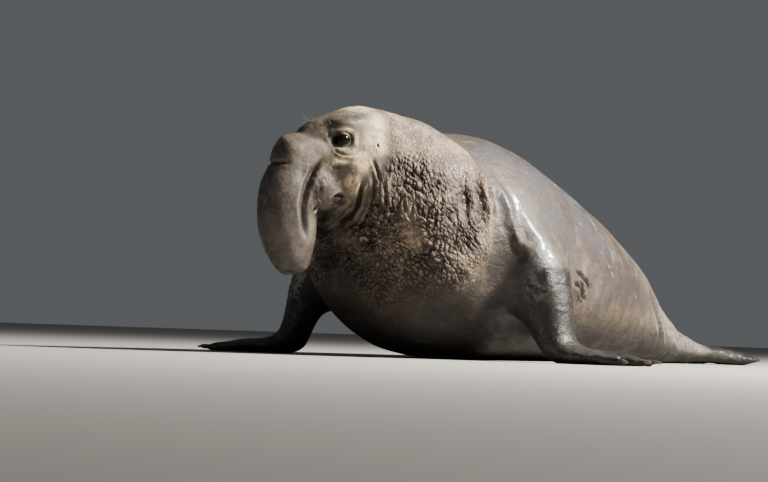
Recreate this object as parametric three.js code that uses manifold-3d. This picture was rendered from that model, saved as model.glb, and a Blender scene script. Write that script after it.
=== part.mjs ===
// A bull elephant seal, life size, propped on its fore flippers with its head up and turned to its right.
// Millimetres, +Z up. The seal faces -Y, its left side is +X, and it rests on the plane z = 0.
// Its body is one smooth field, built from named sizes, which is meshed and then parted by thin cuts.
import * as THREE from "three";
import { mergeVertices } from "three/addons/utils/BufferGeometryUtils.js";
import Module from "manifold-3d";

const wasm = await Module();
wasm.setup();

// Driving sizes
const GAP = 0.3; // between parts that touch
const FAR = 6000; // longer than the seal
const SHOULDER_BLEND = 110;
const NECK_BLEND = 170;
const NOSE_CLEAR = 26; // between the hanging nose and the throat
const NOSE_TOP = 322; // how far below the eyes the nose comes free
const WRIST = { out: 722, forward: -30, height: 78 };
const HEAD = { at: [-150, -556, 985], turn: 30, dip: 2 };
const EYE = { radius: 38, forward: 66, side: 120, up: -15 };
const EAR = { forward: -76, side: 188, up: -34 };
const COLOURS = {
  back: 0x6f655e,
  shield: 0x8d7a6b,
  face: 0x857a6d,
  nose: 0x5b5350,
  flipper: 0x3f3a3a,
  claw: 0x2a2624,
  eye: 0x0d0c0c,
};

// Small vector tools, on [x, y, z] arrays
const add = (a, b, s = 1) => [a[0] + s * b[0], a[1] + s * b[1], a[2] + s * b[2]];
const sub = (a, b) => add(a, b, -1);
const dot = (a, b) => a[0] * b[0] + a[1] * b[1] + a[2] * b[2];
const cross = (a, b) => [
  a[1] * b[2] - a[2] * b[1],
  a[2] * b[0] - a[0] * b[2],
  a[0] * b[1] - a[1] * b[0],
];
const unit = (a) => {
  const n = Math.hypot(...a) || 1;
  return [a[0] / n, a[1] / n, a[2] / n];
};
const mirrored = (p, side) => [side * p[0], p[1], p[2]];
const radians = THREE.MathUtils.degToRad;

// Fields: negative inside, about millimetres of distance near the surface
const join = (a, b, soft = 0) => {
  const h = Math.max(soft - Math.abs(a - b), 0);
  return Math.min(a, b) - (soft ? (h * h) / (4 * soft) : 0);
};
const carve = (a, b, soft = 0) => -join(-a, b, soft);

function ellipsoid(at, radii) {
  return (p) => {
    const x = (p[0] - at[0]) / radii[0];
    const y = (p[1] - at[1]) / radii[1];
    const z = (p[2] - at[2]) / radii[2];
    const reach = Math.hypot(x, y, z);
    const slope = Math.hypot(x / radii[0], y / radii[1], z / radii[2]);
    return slope < 1e-9 ? -Math.min(...radii) : (reach * (reach - 1)) / slope;
  };
}

// A limb or trunk: sections along a smooth line. Each station is {at, wide, up, down}: the half width and
// the heights above and below the line. The section is an ellipse, squarer below where the belly is heavy.
// The ends are round.
function sweep(stations, { steps = 40, level = [0, 0, 1], square = 2, blunt = 0.8 } = {}) {
  const line = new THREE.CatmullRomCurve3(
    stations.map((s) => new THREE.Vector3(...s.at)),
    false,
    "centripetal",
  );
  const girth = new THREE.CatmullRomCurve3(
    stations.map((s) => new THREE.Vector3(s.wide, s.up, s.down)),
    false,
    "catmullrom",
    0.5,
  );
  const rings = [];
  for (let i = 0; i <= steps; i++) {
    const at = line.getPoint(i / steps).toArray();
    const along = line.getTangent(i / steps).toArray();
    const side = unit(cross(along, level));
    rings.push({ at, side, up: cross(side, along), size: girth.getPoint(i / steps).toArray() });
  }
  return (p) => {
    let best = Infinity;
    let ring = 0;
    let part = 0;
    for (let i = 0; i < steps; i++) {
      const a = rings[i].at;
      const leg = sub(rings[i + 1].at, a);
      const t = Math.min(Math.max(dot(sub(p, a), leg) / dot(leg, leg), 0), 1);
      const off = sub(sub(p, a), [leg[0] * t, leg[1] * t, leg[2] * t]);
      const gap = dot(off, off);
      if (gap < best) {
        best = gap;
        ring = i;
        part = t;
      }
    }
    const a = rings[ring];
    const b = rings[ring + 1];
    const mix = (u, v) => u.map((x, k) => x + part * (v[k] - x));
    const away = sub(p, mix(a.at, b.at));
    const side = unit(mix(a.side, b.side));
    const up = unit(mix(a.up, b.up));
    const [wide, top, low] = mix(a.size, b.size);
    const u = dot(away, side);
    const v = dot(away, up);
    const past = Math.sqrt(Math.max(best - u * u - v * v, 0));
    const high = v < 0 ? low : top;
    const power = v < 0 ? square : 2;
    const share = [Math.abs(u) / wide, Math.abs(v) / high, past / (blunt * wide)];
    const reach = Math.pow(share.reduce((sum, x) => sum + Math.pow(x, power), 0), 1 / power);
    const far = Math.hypot(u, v, past);
    return reach < 1e-6 ? -Math.min(wide, high) : far - far / reach;
  };
}

// Trunk, from the tail to the neck
const TRUNK = [
  { at: [258, 2320, 74], wide: 60, up: 46, down: 66 },
  { at: [236, 2200, 90], wide: 112, up: 76, down: 98 },
  { at: [190, 2010, 122], wide: 180, up: 122, down: 136 },
  { at: [128, 1780, 180], wide: 268, up: 222, down: 195 },
  { at: [70, 1480, 255], wide: 380, up: 356, down: 272 },
  { at: [25, 1120, 325], wide: 484, up: 446, down: 345 },
  { at: [0, 760, 400], wide: 552, up: 488, down: 420 },
  { at: [0, 400, 478], wide: 585, up: 512, down: 498 },
  { at: [-10, 80, 560], wide: 580, up: 512, down: 560 },
  { at: [-45, -150, 650], wide: 515, up: 456, down: 530 },
  { at: [-80, -300, 745], wide: 410, up: 355, down: 350 },
];
const trunk = sweep(TRUNK, { steps: 60, square: 2.3, blunt: 0.55 });

// Head, in its own frame: forward, left, up from the middle between the eyes
const headForward = [-Math.sin(radians(HEAD.turn)), -Math.cos(radians(HEAD.turn)), 0];
const headTurn = new THREE.Matrix4().makeBasis(
  new THREE.Vector3(...headForward),
  new THREE.Vector3(...cross([0, 0, 1], headForward)),
  new THREE.Vector3(0, 0, 1),
);
const headPlace = new THREE.Matrix4()
  .makeTranslation(...HEAD.at)
  .multiply(headTurn)
  .multiply(new THREE.Matrix4().makeRotationY(radians(HEAD.dip)));
const headInverse = headPlace.clone().invert().elements;
const toHead = (p) => {
  const e = headInverse;
  return [
    e[0] * p[0] + e[4] * p[1] + e[8] * p[2] + e[12],
    e[1] * p[0] + e[5] * p[1] + e[9] * p[2] + e[13],
    e[2] * p[0] + e[6] * p[1] + e[10] * p[2] + e[14],
  ];
};

const BULB = [
  { at: [60, 0, 0], wide: 92, up: 50, down: 80 },
  { at: [140, 0, -36], wide: 104, up: 74, down: 90 },
  { at: [215, 0, -68], wide: 106, up: 94, down: 96 },
  { at: [260, 0, -98], wide: 104, up: 98, down: 98 },
];
const HANGING = [
  { at: [250, 0, -150], wide: 104, up: 102, down: 100 },
  { at: [278, 0, -220], wide: 114, up: 126, down: 122 },
  { at: [284, 0, -300], wide: 120, up: 137, down: 136 },
  { at: [278, 0, -420], wide: 120, up: 136, down: 132 },
  { at: [268, 0, -505], wide: 108, up: 112, down: 112 },
  { at: [256, 0, -560], wide: 88, up: 84, down: 88 },
];
const bulb = sweep(BULB, { steps: 20, level: [0, 0, 1], blunt: 0.9 });
const hanging = sweep(HANGING, { steps: 30, level: [1, 0, 0.35], blunt: 0.7 });
const cranium = ellipsoid([-80, 0, -20], [225, 180, 168]);
const forehead = ellipsoid([90, 0, -10], [140, 96, 96]);
const nape = ellipsoid([-250, 0, -150], [200, 225, 180]);
const muzzle = ellipsoid([90, 0, -100], [160, 126, 120]);
const jaw = ellipsoid([-34, 0, -316], [150, 104, 68]);
const throat = ellipsoid([-190, 0, -280], [200, 195, 170]);
const paired = (at, radii) => {
  const one = ellipsoid(at, radii);
  return (p) => one([p[0], Math.abs(p[1]), p[2]]);
};
const lips = paired([122, 66, -222], [104, 68, 100]);
const brows = paired([20, 108, 58], [84, 50, 38]);
const cheeks = paired([-40, 108, -130], [130, 84, 100]);
const sockets = paired([EYE.forward + 24, EYE.side + 78, EYE.up], [54, 46, 34]);

function skullField(q) {
  let d = join(cranium(q), muzzle(q), 90);
  d = join(d, forehead(q), 60);
  d = join(d, nape(q), 110);
  d = join(d, brows(q), 50);
  d = join(d, cheeks(q), 60);
  d = join(d, throat(q), 90);
  d = join(d, jaw(q), 26);
  d = join(d, lips(q), 34);
  d = join(d, bulb(q), 34);
  return carve(d, sockets(q), 22);
}

// Arms and hands, given for the left side. The left arm carries more weight and is thicker on its inside
const armStations = (spare) => [
  { at: [400, 20, 560], wide: 190, up: 196, down: 180 },
  { at: [560, 10, 410], wide: 155, up: 150, down: 150 + spare },
  { at: [646, -10, 275], wide: 112, up: 106, down: 98 + spare },
  { at: [688, -24, 158], wide: 96, up: 78, down: 70 + spare },
  { at: [WRIST.out, WRIST.forward, WRIST.height], wide: 96, up: 60, down: 58 + spare * 0.6 },
];
const SHOULDER = [
  { at: [250, -60, 850], wide: 120, up: 90, down: 90 },
  { at: [385, -85, 720], wide: 118, up: 96, down: 90 },
  { at: [470, -70, 560], wide: 112, up: 100, down: 90 },
  { at: [560, -40, 400], wide: 100, up: 100, down: 90 },
];
const arms = {
  1: sweep(armStations(64), { steps: 24, level: [1, 0, 0.4] }),
  [-1]: sweep(armStations(8), { steps: 24, level: [1, 0, 0.4] }),
};
const shoulder = sweep(SHOULDER, { steps: 16, level: [1, 0, 0.4] });

const DIGITS = [
  { spread: -22, reach: 425 },
  { spread: -10, reach: 478 },
  { spread: 1, reach: 476 },
  { spread: 12, reach: 430 },
  { spread: 25, reach: 355 },
];
const digitTip = ({ spread, reach }) => [
  WRIST.out + reach * Math.cos(radians(spread)),
  WRIST.forward + reach * Math.sin(radians(spread)),
  16,
];
const digitRoot = (i) => [WRIST.out + 60, WRIST.forward + (i - 2) * 38, 40];
const digits = DIGITS.map((one, i) => {
  const root = digitRoot(i);
  const way = sub(digitTip(one), root);
  return sweep(
    [
      { at: root, wide: 38, up: 30, down: 34 },
      { at: add(root, way, 0.5), wide: 35, up: 22, down: 26 },
      { at: add(root, way, 0.97), wide: 29, up: 20, down: 20 },
    ],
    { steps: 6 },
  );
});
const PALM = [
  { at: [WRIST.out - 10, WRIST.forward, 70], wide: 88, up: 56, down: 60 },
  { at: [WRIST.out + 90, WRIST.forward, 44], wide: 104, up: 34, down: 40 },
  { at: [WRIST.out + 300, WRIST.forward + 4, 24], wide: 128, up: 16, down: 22 },
];
const palm = sweep(PALM, { steps: 10, blunt: 0.5 });
const hand = (p) => digits.reduce((d, one) => join(d, one(p), 26), palm(p));

// Hind flippers and tail
const HIND = [
  {
    name: "left",
    line: [
      { at: [280, 2250, 72], wide: 70, up: 46, down: 62 },
      { at: [372, 2420, 54], wide: 84, up: 34, down: 46 },
      { at: [452, 2550, 40], wide: 100, up: 24, down: 34 },
    ],
    tips: [[455, 2720, 22], [530, 2680, 22], [570, 2600, 20]],
  },
  {
    name: "right",
    line: [
      { at: [192, 2260, 72], wide: 70, up: 46, down: 62 },
      { at: [186, 2440, 54], wide: 84, up: 34, down: 46 },
      { at: [200, 2590, 40], wide: 100, up: 24, down: 34 },
    ],
    tips: [[135, 2740, 20], [215, 2770, 22], [295, 2730, 22]],
  },
];
const hindFields = HIND.map(({ line, tips }) => {
  const blade = sweep(line, { steps: 12, blunt: 0.5 });
  const root = line[1].at;
  const rays = tips.map((tip) =>
    sweep(
      [
        { at: root, wide: 36, up: 30, down: 40 },
        { at: add(root, sub(tip, root), 0.6), wide: 34, up: 20, down: 28 },
        { at: tip, wide: 27, up: 16, down: 18 },
      ],
      { steps: 6 },
    ),
  );
  return (p) => rays.reduce((d, ray) => join(d, ray(p), 24), blade(p));
});

// The whole: the trunk meets the skull softly, and the nose hangs clear of the throat
function bodyField(p) {
  const q = toHead(p);
  const nose = hanging(q);
  let d = join(trunk(p), skullField(q), NECK_BLEND);
  const below = -join(NOSE_CLEAR - nose, -NOSE_TOP - q[2], 50);
  d = carve(d, below, 20);
  d = join(d, nose, 20);
  for (const side of [1, -1]) {
    const m = mirrored(p, side);
    d = join(d, shoulder(m), 60);
    d = join(d, arms[side](m), SHOULDER_BLEND);
    d = join(d, hand(m), 24);
  }
  if (p[1] > 2000) {
    d = hindFields.reduce((all, flipper) => join(all, flipper(p), 20), d);
  }
  return d;
}

// Meshing: one point in each cell that the surface crosses, at the middle of the crossings
function solidFrom(geometry) {
  const bare = geometry.clone();
  bare.deleteAttribute("normal");
  bare.deleteAttribute("uv");
  const merged = mergeVertices(bare, 1e-3);
  return new wasm.Manifold(
    new wasm.Mesh({
      numProp: 3,
      vertProperties: new Float32Array(merged.attributes.position.array),
      triVerts: new Uint32Array(merged.index.array),
    }),
  );
}

function meshField(field, low, high, cell) {
  const n = [0, 1, 2].map((k) => Math.ceil((high[k] - low[k]) / cell) + 1);
  const index = (i, j, k) => i + n[0] * (j + n[1] * k);
  const place = (i, j, k) => [low[0] + i * cell, low[1] + j * cell, low[2] + k * cell];
  const value = new Float32Array(n[0] * n[1] * n[2]);
  for (let k = 0; k < n[2]; k++)
    for (let j = 0; j < n[1]; j++)
      for (let i = 0; i < n[0]; i++) {
        const rim = [i, j, k].some((c, a) => c === 0 || c === n[a] - 1);
        value[index(i, j, k)] = rim ? cell : field(place(i, j, k)) || 1e-4;
      }
  const steps = [1, n[0], n[0] * n[1]];
  for (let again = true, pass = 0; again && pass < 30; pass++) {
    again = false;
    for (const [a, b] of [[0, 1], [1, 2], [2, 0]])
      for (let v = 0; v + steps[a] + steps[b] < value.length; v++) {
        const ring = [v, v + steps[a], v + steps[a] + steps[b], v + steps[b]];
        const inside = ring.map((c) => value[c] < 0);
        if (inside[0] !== inside[2] || inside[1] !== inside[3] || inside[0] === inside[1]) continue;
        const least = ring.reduce((x, y) => (Math.abs(value[x]) < Math.abs(value[y]) ? x : y));
        value[least] = -value[least];
        again = true;
      }
  }
  const points = [];
  const cellPoint = new Map();
  for (let k = 0; k < n[2] - 1; k++)
    for (let j = 0; j < n[1] - 1; j++)
      for (let i = 0; i < n[0] - 1; i++) {
        const sum = [0, 0, 0];
        let crossings = 0;
        for (let axis = 0; axis < 3; axis++)
          for (let corner = 0; corner < 4; corner++) {
            const c = [i, j, k];
            c[(axis + 1) % 3] += corner & 1;
            c[(axis + 2) % 3] += corner >> 1;
            const v0 = value[index(...c)];
            const v1 = value[index(...c) + steps[axis]];
            if (v0 < 0 === v1 < 0) continue;
            const at = place(...c);
            at[axis] += (cell * v0) / (v0 - v1);
            sum.forEach((_, m) => (sum[m] += at[m]));
            crossings++;
          }
        if (!crossings) continue;
        cellPoint.set(index(i, j, k), points.length);
        points.push(sum.map((s) => s / crossings));
      }
  const faces = [];
  for (let k = 0; k < n[2] - 1; k++)
    for (let j = 0; j < n[1] - 1; j++)
      for (let i = 0; i < n[0] - 1; i++)
        for (let axis = 0; axis < 3; axis++) {
          if ([i, j, k].some((c, other) => other !== axis && c === 0)) continue;
          const v = index(i, j, k);
          if (value[v] < 0 === value[v + steps[axis]] < 0) continue;
          const b = steps[(axis + 1) % 3];
          const c = steps[(axis + 2) % 3];
          const quad = [v - b - c, v - c, v, v - b].map((x) => cellPoint.get(x));
          if (value[v] >= 0) quad.reverse();
          const [p0, p1, p2, p3] = quad.map((x) => points[x]);
          const short = Math.hypot(...sub(p0, p2)) < Math.hypot(...sub(p1, p3));
          const split = short ? [0, 1, 2, 0, 2, 3] : [1, 2, 3, 1, 3, 0];
          faces.push(...split.map((x) => quad[x]));
        }
  const geometry = new THREE.BufferGeometry();
  geometry.setAttribute("position", new THREE.Float32BufferAttribute(points.flat(), 3));
  geometry.setIndex(faces);
  return solidFrom(geometry);
}

// Cutting: a plane keeps what lies on the side its normal points to
function halfSpace({ normal, through, exact }, inset = GAP / 2) {
  const n = new THREE.Vector3(...unit(normal));
  const box = new THREE.BoxGeometry(FAR, FAR, FAR);
  const turn = new THREE.Quaternion().setFromUnitVectors(new THREE.Vector3(0, 0, 1), n);
  const at = new THREE.Vector3(...through).addScaledVector(n, FAR / 2 + (exact ? 0 : inset));
  box.applyMatrix4(new THREE.Matrix4().compose(at, turn, new THREE.Vector3(1, 1, 1)));
  return solidFrom(box);
}
const wedge = (planes, inset) =>
  planes.map((plane) => halfSpace(plane, inset)).reduce((a, b) => a.intersect(b));
const opposite = ({ normal, through }) => ({ normal: normal.map((x) => -x), through });
const largest = (solid) => solid.decompose().sort((a, b) => b.volume() - a.volume())[0];

function placed(geometry, matrix) {
  const made = geometry.clone();
  made.applyMatrix4(matrix);
  return solidFrom(made);
}
const ball = (radii, matrix, detail = 20) =>
  placed(new THREE.SphereGeometry(1, detail, detail / 2).scale(...radii), matrix);

// Head details, in the head's frame
const inHead = (at, turn = [0, 0, 0]) =>
  headPlace
    .clone()
    .multiply(new THREE.Matrix4().makeTranslation(...at))
    .multiply(new THREE.Matrix4().makeRotationFromEuler(new THREE.Euler(...turn)));
const eyeAt = (side) => [EYE.forward, side * EYE.side, EYE.up];
const eyeBall = (side, extra = 0) => {
  const r = EYE.radius + extra;
  return ball([r, r, r], inHead(eyeAt(side)), 18);
};
function lids(side) {
  const ring = new THREE.TorusGeometry(EYE.radius * 0.94, 10, 8, 26).scale(1.1, 0.86, 1);
  const out = [EYE.forward + 5, side * (EYE.side + 20), EYE.up + 1];
  return placed(ring, inHead(out, [side * -radians(90), side * radians(16), 0]));
}
const earPit = (side) => ball([11, 22, 8], inHead([EAR.forward, side * EAR.side, EAR.up]), 12);
const earRim = (side) =>
  placed(
    new THREE.TorusGeometry(13, 6, 6, 14),
    inHead([EAR.forward, side * (EAR.side - 5), EAR.up], [radians(90), 0, side * radians(14)]),
  );
const nostril = (side) => ball([30, 19, 40], inHead([284, side * 34, -618], [0, radians(-28), 0]), 16);

// A claw lies on the end of each digit and curves down to its point
function claw(side, i, extra = 0) {
  const tip = digitTip(DIGITS[i]);
  const root = digitRoot(i);
  const way = unit([tip[0] - root[0], tip[1] - root[1], 0]);
  const cone = new THREE.LatheGeometry(
    [
      [0, -20 - extra],
      [7 + extra, -16 - extra],
      [8 + extra, 0],
      [5.5 + extra, 16],
      [0, 30 + extra],
    ].map(([r, y]) => new THREE.Vector2(r, y)),
    8,
  );
  const turn = new THREE.Quaternion().setFromUnitVectors(
    new THREE.Vector3(0, 1, 0),
    new THREE.Vector3(side * way[0], way[1], -0.16).normalize(),
  );
  const at = new THREE.Vector3(...mirrored(add(root, sub(tip, root), 0.985), side)).setZ(21);
  return placed(cone, new THREE.Matrix4().compose(at, turn, new THREE.Vector3(1, 1, 1)));
}

// The group's origin is the middle of its own bounding box, on the floor
const SHIFT = [0, -928, 0];
const seal = new THREE.Group();
function addPart(name, solid, colour, roughness = 0.6) {
  const mesh = largest(solid).translate(...SHIFT).getMesh();
  const geometry = new THREE.BufferGeometry();
  geometry.setAttribute("position", new THREE.BufferAttribute(mesh.vertProperties, 3));
  geometry.setIndex(new THREE.BufferAttribute(mesh.triVerts, 1));
  geometry.computeVertexNormals();
  const made = new THREE.Mesh(geometry, new THREE.MeshStandardMaterial({ color: colour, roughness }));
  made.name = name;
  seal.add(made);
}

// Planes between the nodes
const floor = { normal: [0, 0, 1], through: [0, 0, 0], exact: true };
const inHeadPlane = (normal, through) => ({
  normal: new THREE.Vector3(...normal).transformDirection(headPlace).toArray(),
  through: new THREE.Vector3(...through).applyMatrix4(headPlace).toArray(),
});
const headCut = inHeadPlane([0.6, 0, 0.8], [-190, 0, -150]);
const noseCut = inHeadPlane([1, 0, 0], [142, 0, 0]);
const mouthCut = inHeadPlane([-0.58, 0, -0.815], [50, 0, -250]);
const jawCut = inHeadPlane([1, 0, 0], [10, 0, 0]);
const throatCut = inHeadPlane([1, 0, 0], [118, 0, 0]);
const underNose = inHeadPlane([0, 0, -1], [0, 0, -NOSE_TOP]);
const neckCut = { normal: [-0.16, -0.9, 0.4], through: [-40, -170, 660] };
const chestCut = { normal: [0, -1, 0.12], through: [0, 340, 480] };
const torsoCut = { normal: [0, -1, 0], through: [0, 1050, 0] };
const loinCut = { normal: [-0.16, -1, 0], through: [128, 1680, 0] };
const ankleCut = { normal: [-0.2, -1, 0], through: [236, 2215, 0] };
const hindCut = { normal: [0.94, -0.34, 0], through: [238, 2250, 0] };
const armWedge = (side) => [
  { normal: [side * 0.85, 0, -0.53], through: [side * 545, 30, 420] },
  { normal: [0, 1, 0.1], through: [0, -170, 400] },
  { normal: [0, -1, 0.1], through: [0, 235, 400] },
];
const elbowCut = (side) => ({ normal: [side * 0.45, 0, -0.87], through: [side * 650, 0, 275] });
const wristCut = (side) => ({ normal: [side * 0.92, 0, -0.38], through: [side * 694, 0, 120] });
const tailBall = (extra) =>
  ball(
    [64 + extra, 128 + extra, 58 + extra],
    new THREE.Matrix4().makeTranslation(258, 2300, 96).multiply(new THREE.Matrix4().makeRotationZ(-0.2)),
    24,
  );

// Nodes: the body inside some planes, less the room of its neighbours
function node(name, { cell, low, high, planes, less = [], more = [], colour = COLOURS.back }) {
  let solid = meshField(bodyField, low, high, cell);
  for (const plane of [floor, ...planes]) solid = solid.intersect(halfSpace(plane));
  for (const extra of more) solid = solid.add(extra);
  for (const room of less) solid = solid.subtract(room);
  addPart(name, solid, colour);
}
const sides = [
  { side: 1, name: "left" },
  { side: -1, name: "right" },
];
const perSide = (make) => sides.map(({ side }) => make(side));
const armRoom = (inset) => perSide((side) => wedge(armWedge(side), inset));

node("head", {
  cell: 33,
  low: [-640, -1100, 400],
  high: [380, -60, 1300],
  planes: [headCut, opposite(noseCut)],
  more: [...perSide(lids), ...perSide(earRim)],
  less: [
    wedge([mouthCut, jawCut], -GAP / 2),
    wedge([throatCut, underNose], 0),
    ...perSide((side) => eyeBall(side, GAP)),
    ...perSide(earPit),
  ],
  colour: COLOURS.face,
});
node("proboscis", {
  cell: 31,
  low: [-640, -1150, 300],
  high: [0, -500, 1200],
  planes: [noseCut],
  less: perSide(nostril),
  colour: COLOURS.nose,
});
node("lower_jaw", {
  cell: 30,
  low: [-520, -900, 480],
  high: [240, -260, 960],
  planes: [headCut, opposite(throatCut), mouthCut, jawCut],
  colour: COLOURS.face,
});
node("neck", {
  cell: 62,
  low: [-700, -1000, 60],
  high: [700, 300, 1300],
  planes: [opposite(headCut), neckCut, opposite(throatCut)],
  less: armRoom(-GAP / 2),
  colour: COLOURS.shield,
});
node("chest", {
  cell: 88,
  low: [-860, -800, -124],
  high: [860, 560, 1240],
  planes: [opposite(neckCut), chestCut],
  less: armRoom(-GAP / 2),
  colour: COLOURS.shield,
});
node("torso", {
  cell: 102,
  low: [-760, 200, -152],
  high: [760, 1250, 1216],
  planes: [opposite(chestCut), torsoCut],
});
node("loins", {
  cell: 94,
  low: [-650, 850, -140],
  high: [700, 1900, 1000],
  planes: [opposite(torsoCut), loinCut],
});
node("hips", {
  cell: 68,
  low: [-300, 1500, -92],
  high: [560, 2400, 600],
  planes: [opposite(loinCut), ankleCut],
  less: [tailBall(GAP)],
});
const tailMesh = meshField(bodyField, [60, 2080, -75], [460, 2560, 250], 25);
addPart("tail", tailMesh.intersect(halfSpace(floor)).intersect(tailBall(0)), COLOURS.back);
for (const { side, name } of sides) {
  node(`hind_flipper_${name}`, {
    cell: 36,
    low: [0, 2100, -75],
    high: [760, 2900, 250],
    planes: [opposite(ankleCut), side > 0 ? hindCut : opposite(hindCut)],
    less: [tailBall(GAP)],
    colour: COLOURS.flipper,
  });
  const low = side > 0 ? 420 : -900;
  node(`upper_arm_${name}`, {
    cell: 54,
    low: [low, -320, 60],
    high: [low + 480, 420, 760],
    planes: [...armWedge(side), opposite(elbowCut(side))],
    colour: COLOURS.flipper,
  });
  node(`forearm_${name}`, {
    cell: 41,
    low: [low, -260, -64],
    high: [low + 480, 300, 420],
    planes: [...armWedge(side), elbowCut(side), opposite(wristCut(side))],
    colour: COLOURS.flipper,
  });
  const from = side > 0 ? 560 : -1330;
  node(`fore_flipper_${name}`, {
    cell: 34,
    low: [from, -440, -66],
    high: [from + 770, 400, 330],
    planes: [wristCut(side)],
    less: DIGITS.map((_, i) => claw(side, i, GAP)),
    colour: COLOURS.flipper,
  });
  DIGITS.forEach((_, i) => addPart(`claw_${name}_${i + 1}`, claw(side, i), COLOURS.claw, 0.35));
  addPart(`eye_${name}`, eyeBall(side), COLOURS.eye, 0.05);
}

export default seal;
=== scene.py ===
"""A life-size bull elephant seal: its skin, eyes, claws, whiskers and coat, with the studio round it.

Metres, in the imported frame: the seal faces -Y, its left side is +X, and it rests on z = 0.
"""

import logging
import math
from dataclasses import dataclass, field
from enum import Enum
from functools import partial
from typing import Any

import bmesh
import bpy
import numpy as np
from mathutils import Matrix, Vector
from mathutils.bvhtree import BVHTree


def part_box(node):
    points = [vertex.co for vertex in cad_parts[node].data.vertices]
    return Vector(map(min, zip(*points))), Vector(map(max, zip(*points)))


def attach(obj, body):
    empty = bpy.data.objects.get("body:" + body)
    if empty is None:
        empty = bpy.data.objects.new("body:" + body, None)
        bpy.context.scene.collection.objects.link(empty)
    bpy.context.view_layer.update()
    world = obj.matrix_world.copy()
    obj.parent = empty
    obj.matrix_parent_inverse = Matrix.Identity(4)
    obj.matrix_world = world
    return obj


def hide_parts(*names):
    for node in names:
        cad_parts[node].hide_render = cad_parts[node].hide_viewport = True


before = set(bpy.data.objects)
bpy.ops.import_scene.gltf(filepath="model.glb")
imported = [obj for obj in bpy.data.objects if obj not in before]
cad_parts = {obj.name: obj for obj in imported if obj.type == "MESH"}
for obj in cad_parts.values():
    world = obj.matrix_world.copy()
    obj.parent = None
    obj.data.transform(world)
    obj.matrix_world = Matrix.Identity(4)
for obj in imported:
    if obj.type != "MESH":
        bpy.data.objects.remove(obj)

logging.basicConfig(level=logging.INFO, format="%(asctime)s %(message)s")
log = logging.getLogger("seal")

Point = tuple[float, float, float]
Colour = tuple[float, float, float]
Array = np.ndarray

SAME_POINT = 1e-5  # points closer than this are merged
FLOOR_GAP = 0.0008  # the skin's least height over the floor
DIGITS = range(1, 6)


class Side(Enum):
    """A side of the seal, as the sign of its x."""

    LEFT = 1
    RIGHT = -1

    @property
    def word(self) -> str:
        """Return the side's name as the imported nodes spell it."""
        return self.name.lower()


# Arrays of points


def ramp(value: Array, low: float, high: float) -> Array:
    """Ease values from 0 at low to 1 at high.

    Args:
        value: The values to ease.
        low: Where the result is 0.
        high: Where the result is 1, which may be below low.

    Returns:
        The eased values, from 0 to 1.
    """
    t = np.clip((value - low) / (high - low), 0, 1)
    return t * t * (3 - 2 * t)


def hashed(cell: Array, seed: int) -> Array:
    """Give each whole-number cell a repeatable number from 0 to 1.

    Args:
        cell: Whole numbers, three to a row.
        seed: Which set of numbers to draw.

    Returns:
        One number for each row.
    """
    mixed = cell.astype(np.int64) @ np.array([374761393, 668265263, 1274126177])
    mixed = (mixed + seed * 974634777) & 0xFFFFFFFF
    mixed = ((mixed ^ (mixed >> 13)) * 1103515245) & 0xFFFFFFFF
    mixed = ((mixed ^ (mixed >> 16)) * 2246822519) & 0xFFFFFFFF
    return ((mixed ^ (mixed >> 15)) & 0xFFFFFF) / 0x1000000


def waves(points: Array, size: float, seed: int) -> Array:
    """Smooth noise.

    Args:
        points: Where to read it.
        size: How far apart its bumps are.
        seed: Which noise it is.

    Returns:
        Values from -1 to 1, one for each point.
    """
    at = points / size
    cell = np.floor(at).astype(np.int64)
    part = at - cell
    part = part * part * part * (part * (part * 6 - 15) + 10)
    total = np.zeros(len(points))
    for corner in range(8):
        step = np.array([corner & 1, (corner >> 1) & 1, corner >> 2])
        share = np.where(step, part, 1 - part).prod(axis=1)
        total += share * hashed(cell + step, seed)
    return total * 2 - 1


def ripples(points: Array, size: float, seed: int, layers: int = 3) -> Array:
    """Layered noise, each layer half the size and strength of the one before.

    Args:
        points: Where to read it.
        size: The size of the largest bumps.
        seed: Which noise it is.
        layers: How many layers.

    Returns:
        Values of about -1 to 1, one for each point.
    """
    total = np.zeros(len(points))
    for layer in range(layers):
        total += waves(points, size / 2**layer, seed + layer) / 2**layer
    return total / (2 - 2 / 2**layers)


def cobbles(points: Array, seed: int) -> tuple[Array, Array]:
    """Cells round scattered points, one to each unit cube.

    Args:
        points: Where to read them, in cells.
        seed: Which cells they are.

    Returns:
        How far each point is from the edge of its cell, and its cell's own number from 0 to 1.
    """
    cell = np.floor(points).astype(np.int64)
    first = np.full(len(points), 9.0)
    second = np.full(len(points), 9.0)
    own = np.zeros(len(points))
    for k in range(27):
        near = cell + np.array([k % 3 - 1, (k // 3) % 3 - 1, k // 9 - 1])
        drawn = [hashed(near, seed + axis) for axis in range(3)]
        gap = np.linalg.norm(near + np.stack(drawn, axis=1) - points, axis=1)
        closer = gap < first
        second = np.where(closer, first, np.minimum(second, gap))
        own = np.where(closer, drawn[0], own)
        first = np.where(closer, gap, first)
    return second - first, own


def drift(points: Array, size: float, seed: int, layers: int = 2) -> Array:
    """Layered noise in three directions.

    Args:
        points: Where to read it.
        size: The size of the largest bumps.
        seed: Which noise it is.
        layers: How many layers.

    Returns:
        Values of about -1 to 1, three for each point.
    """
    return np.stack([ripples(points, size, seed + step, layers) for step in (0, 2, 6)], axis=1)


def ridge(value: Array, width: float) -> Array:
    """Return 1 where a value is 0, falling away smoothly over a width."""
    return np.exp(-((value / width) ** 2))


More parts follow.
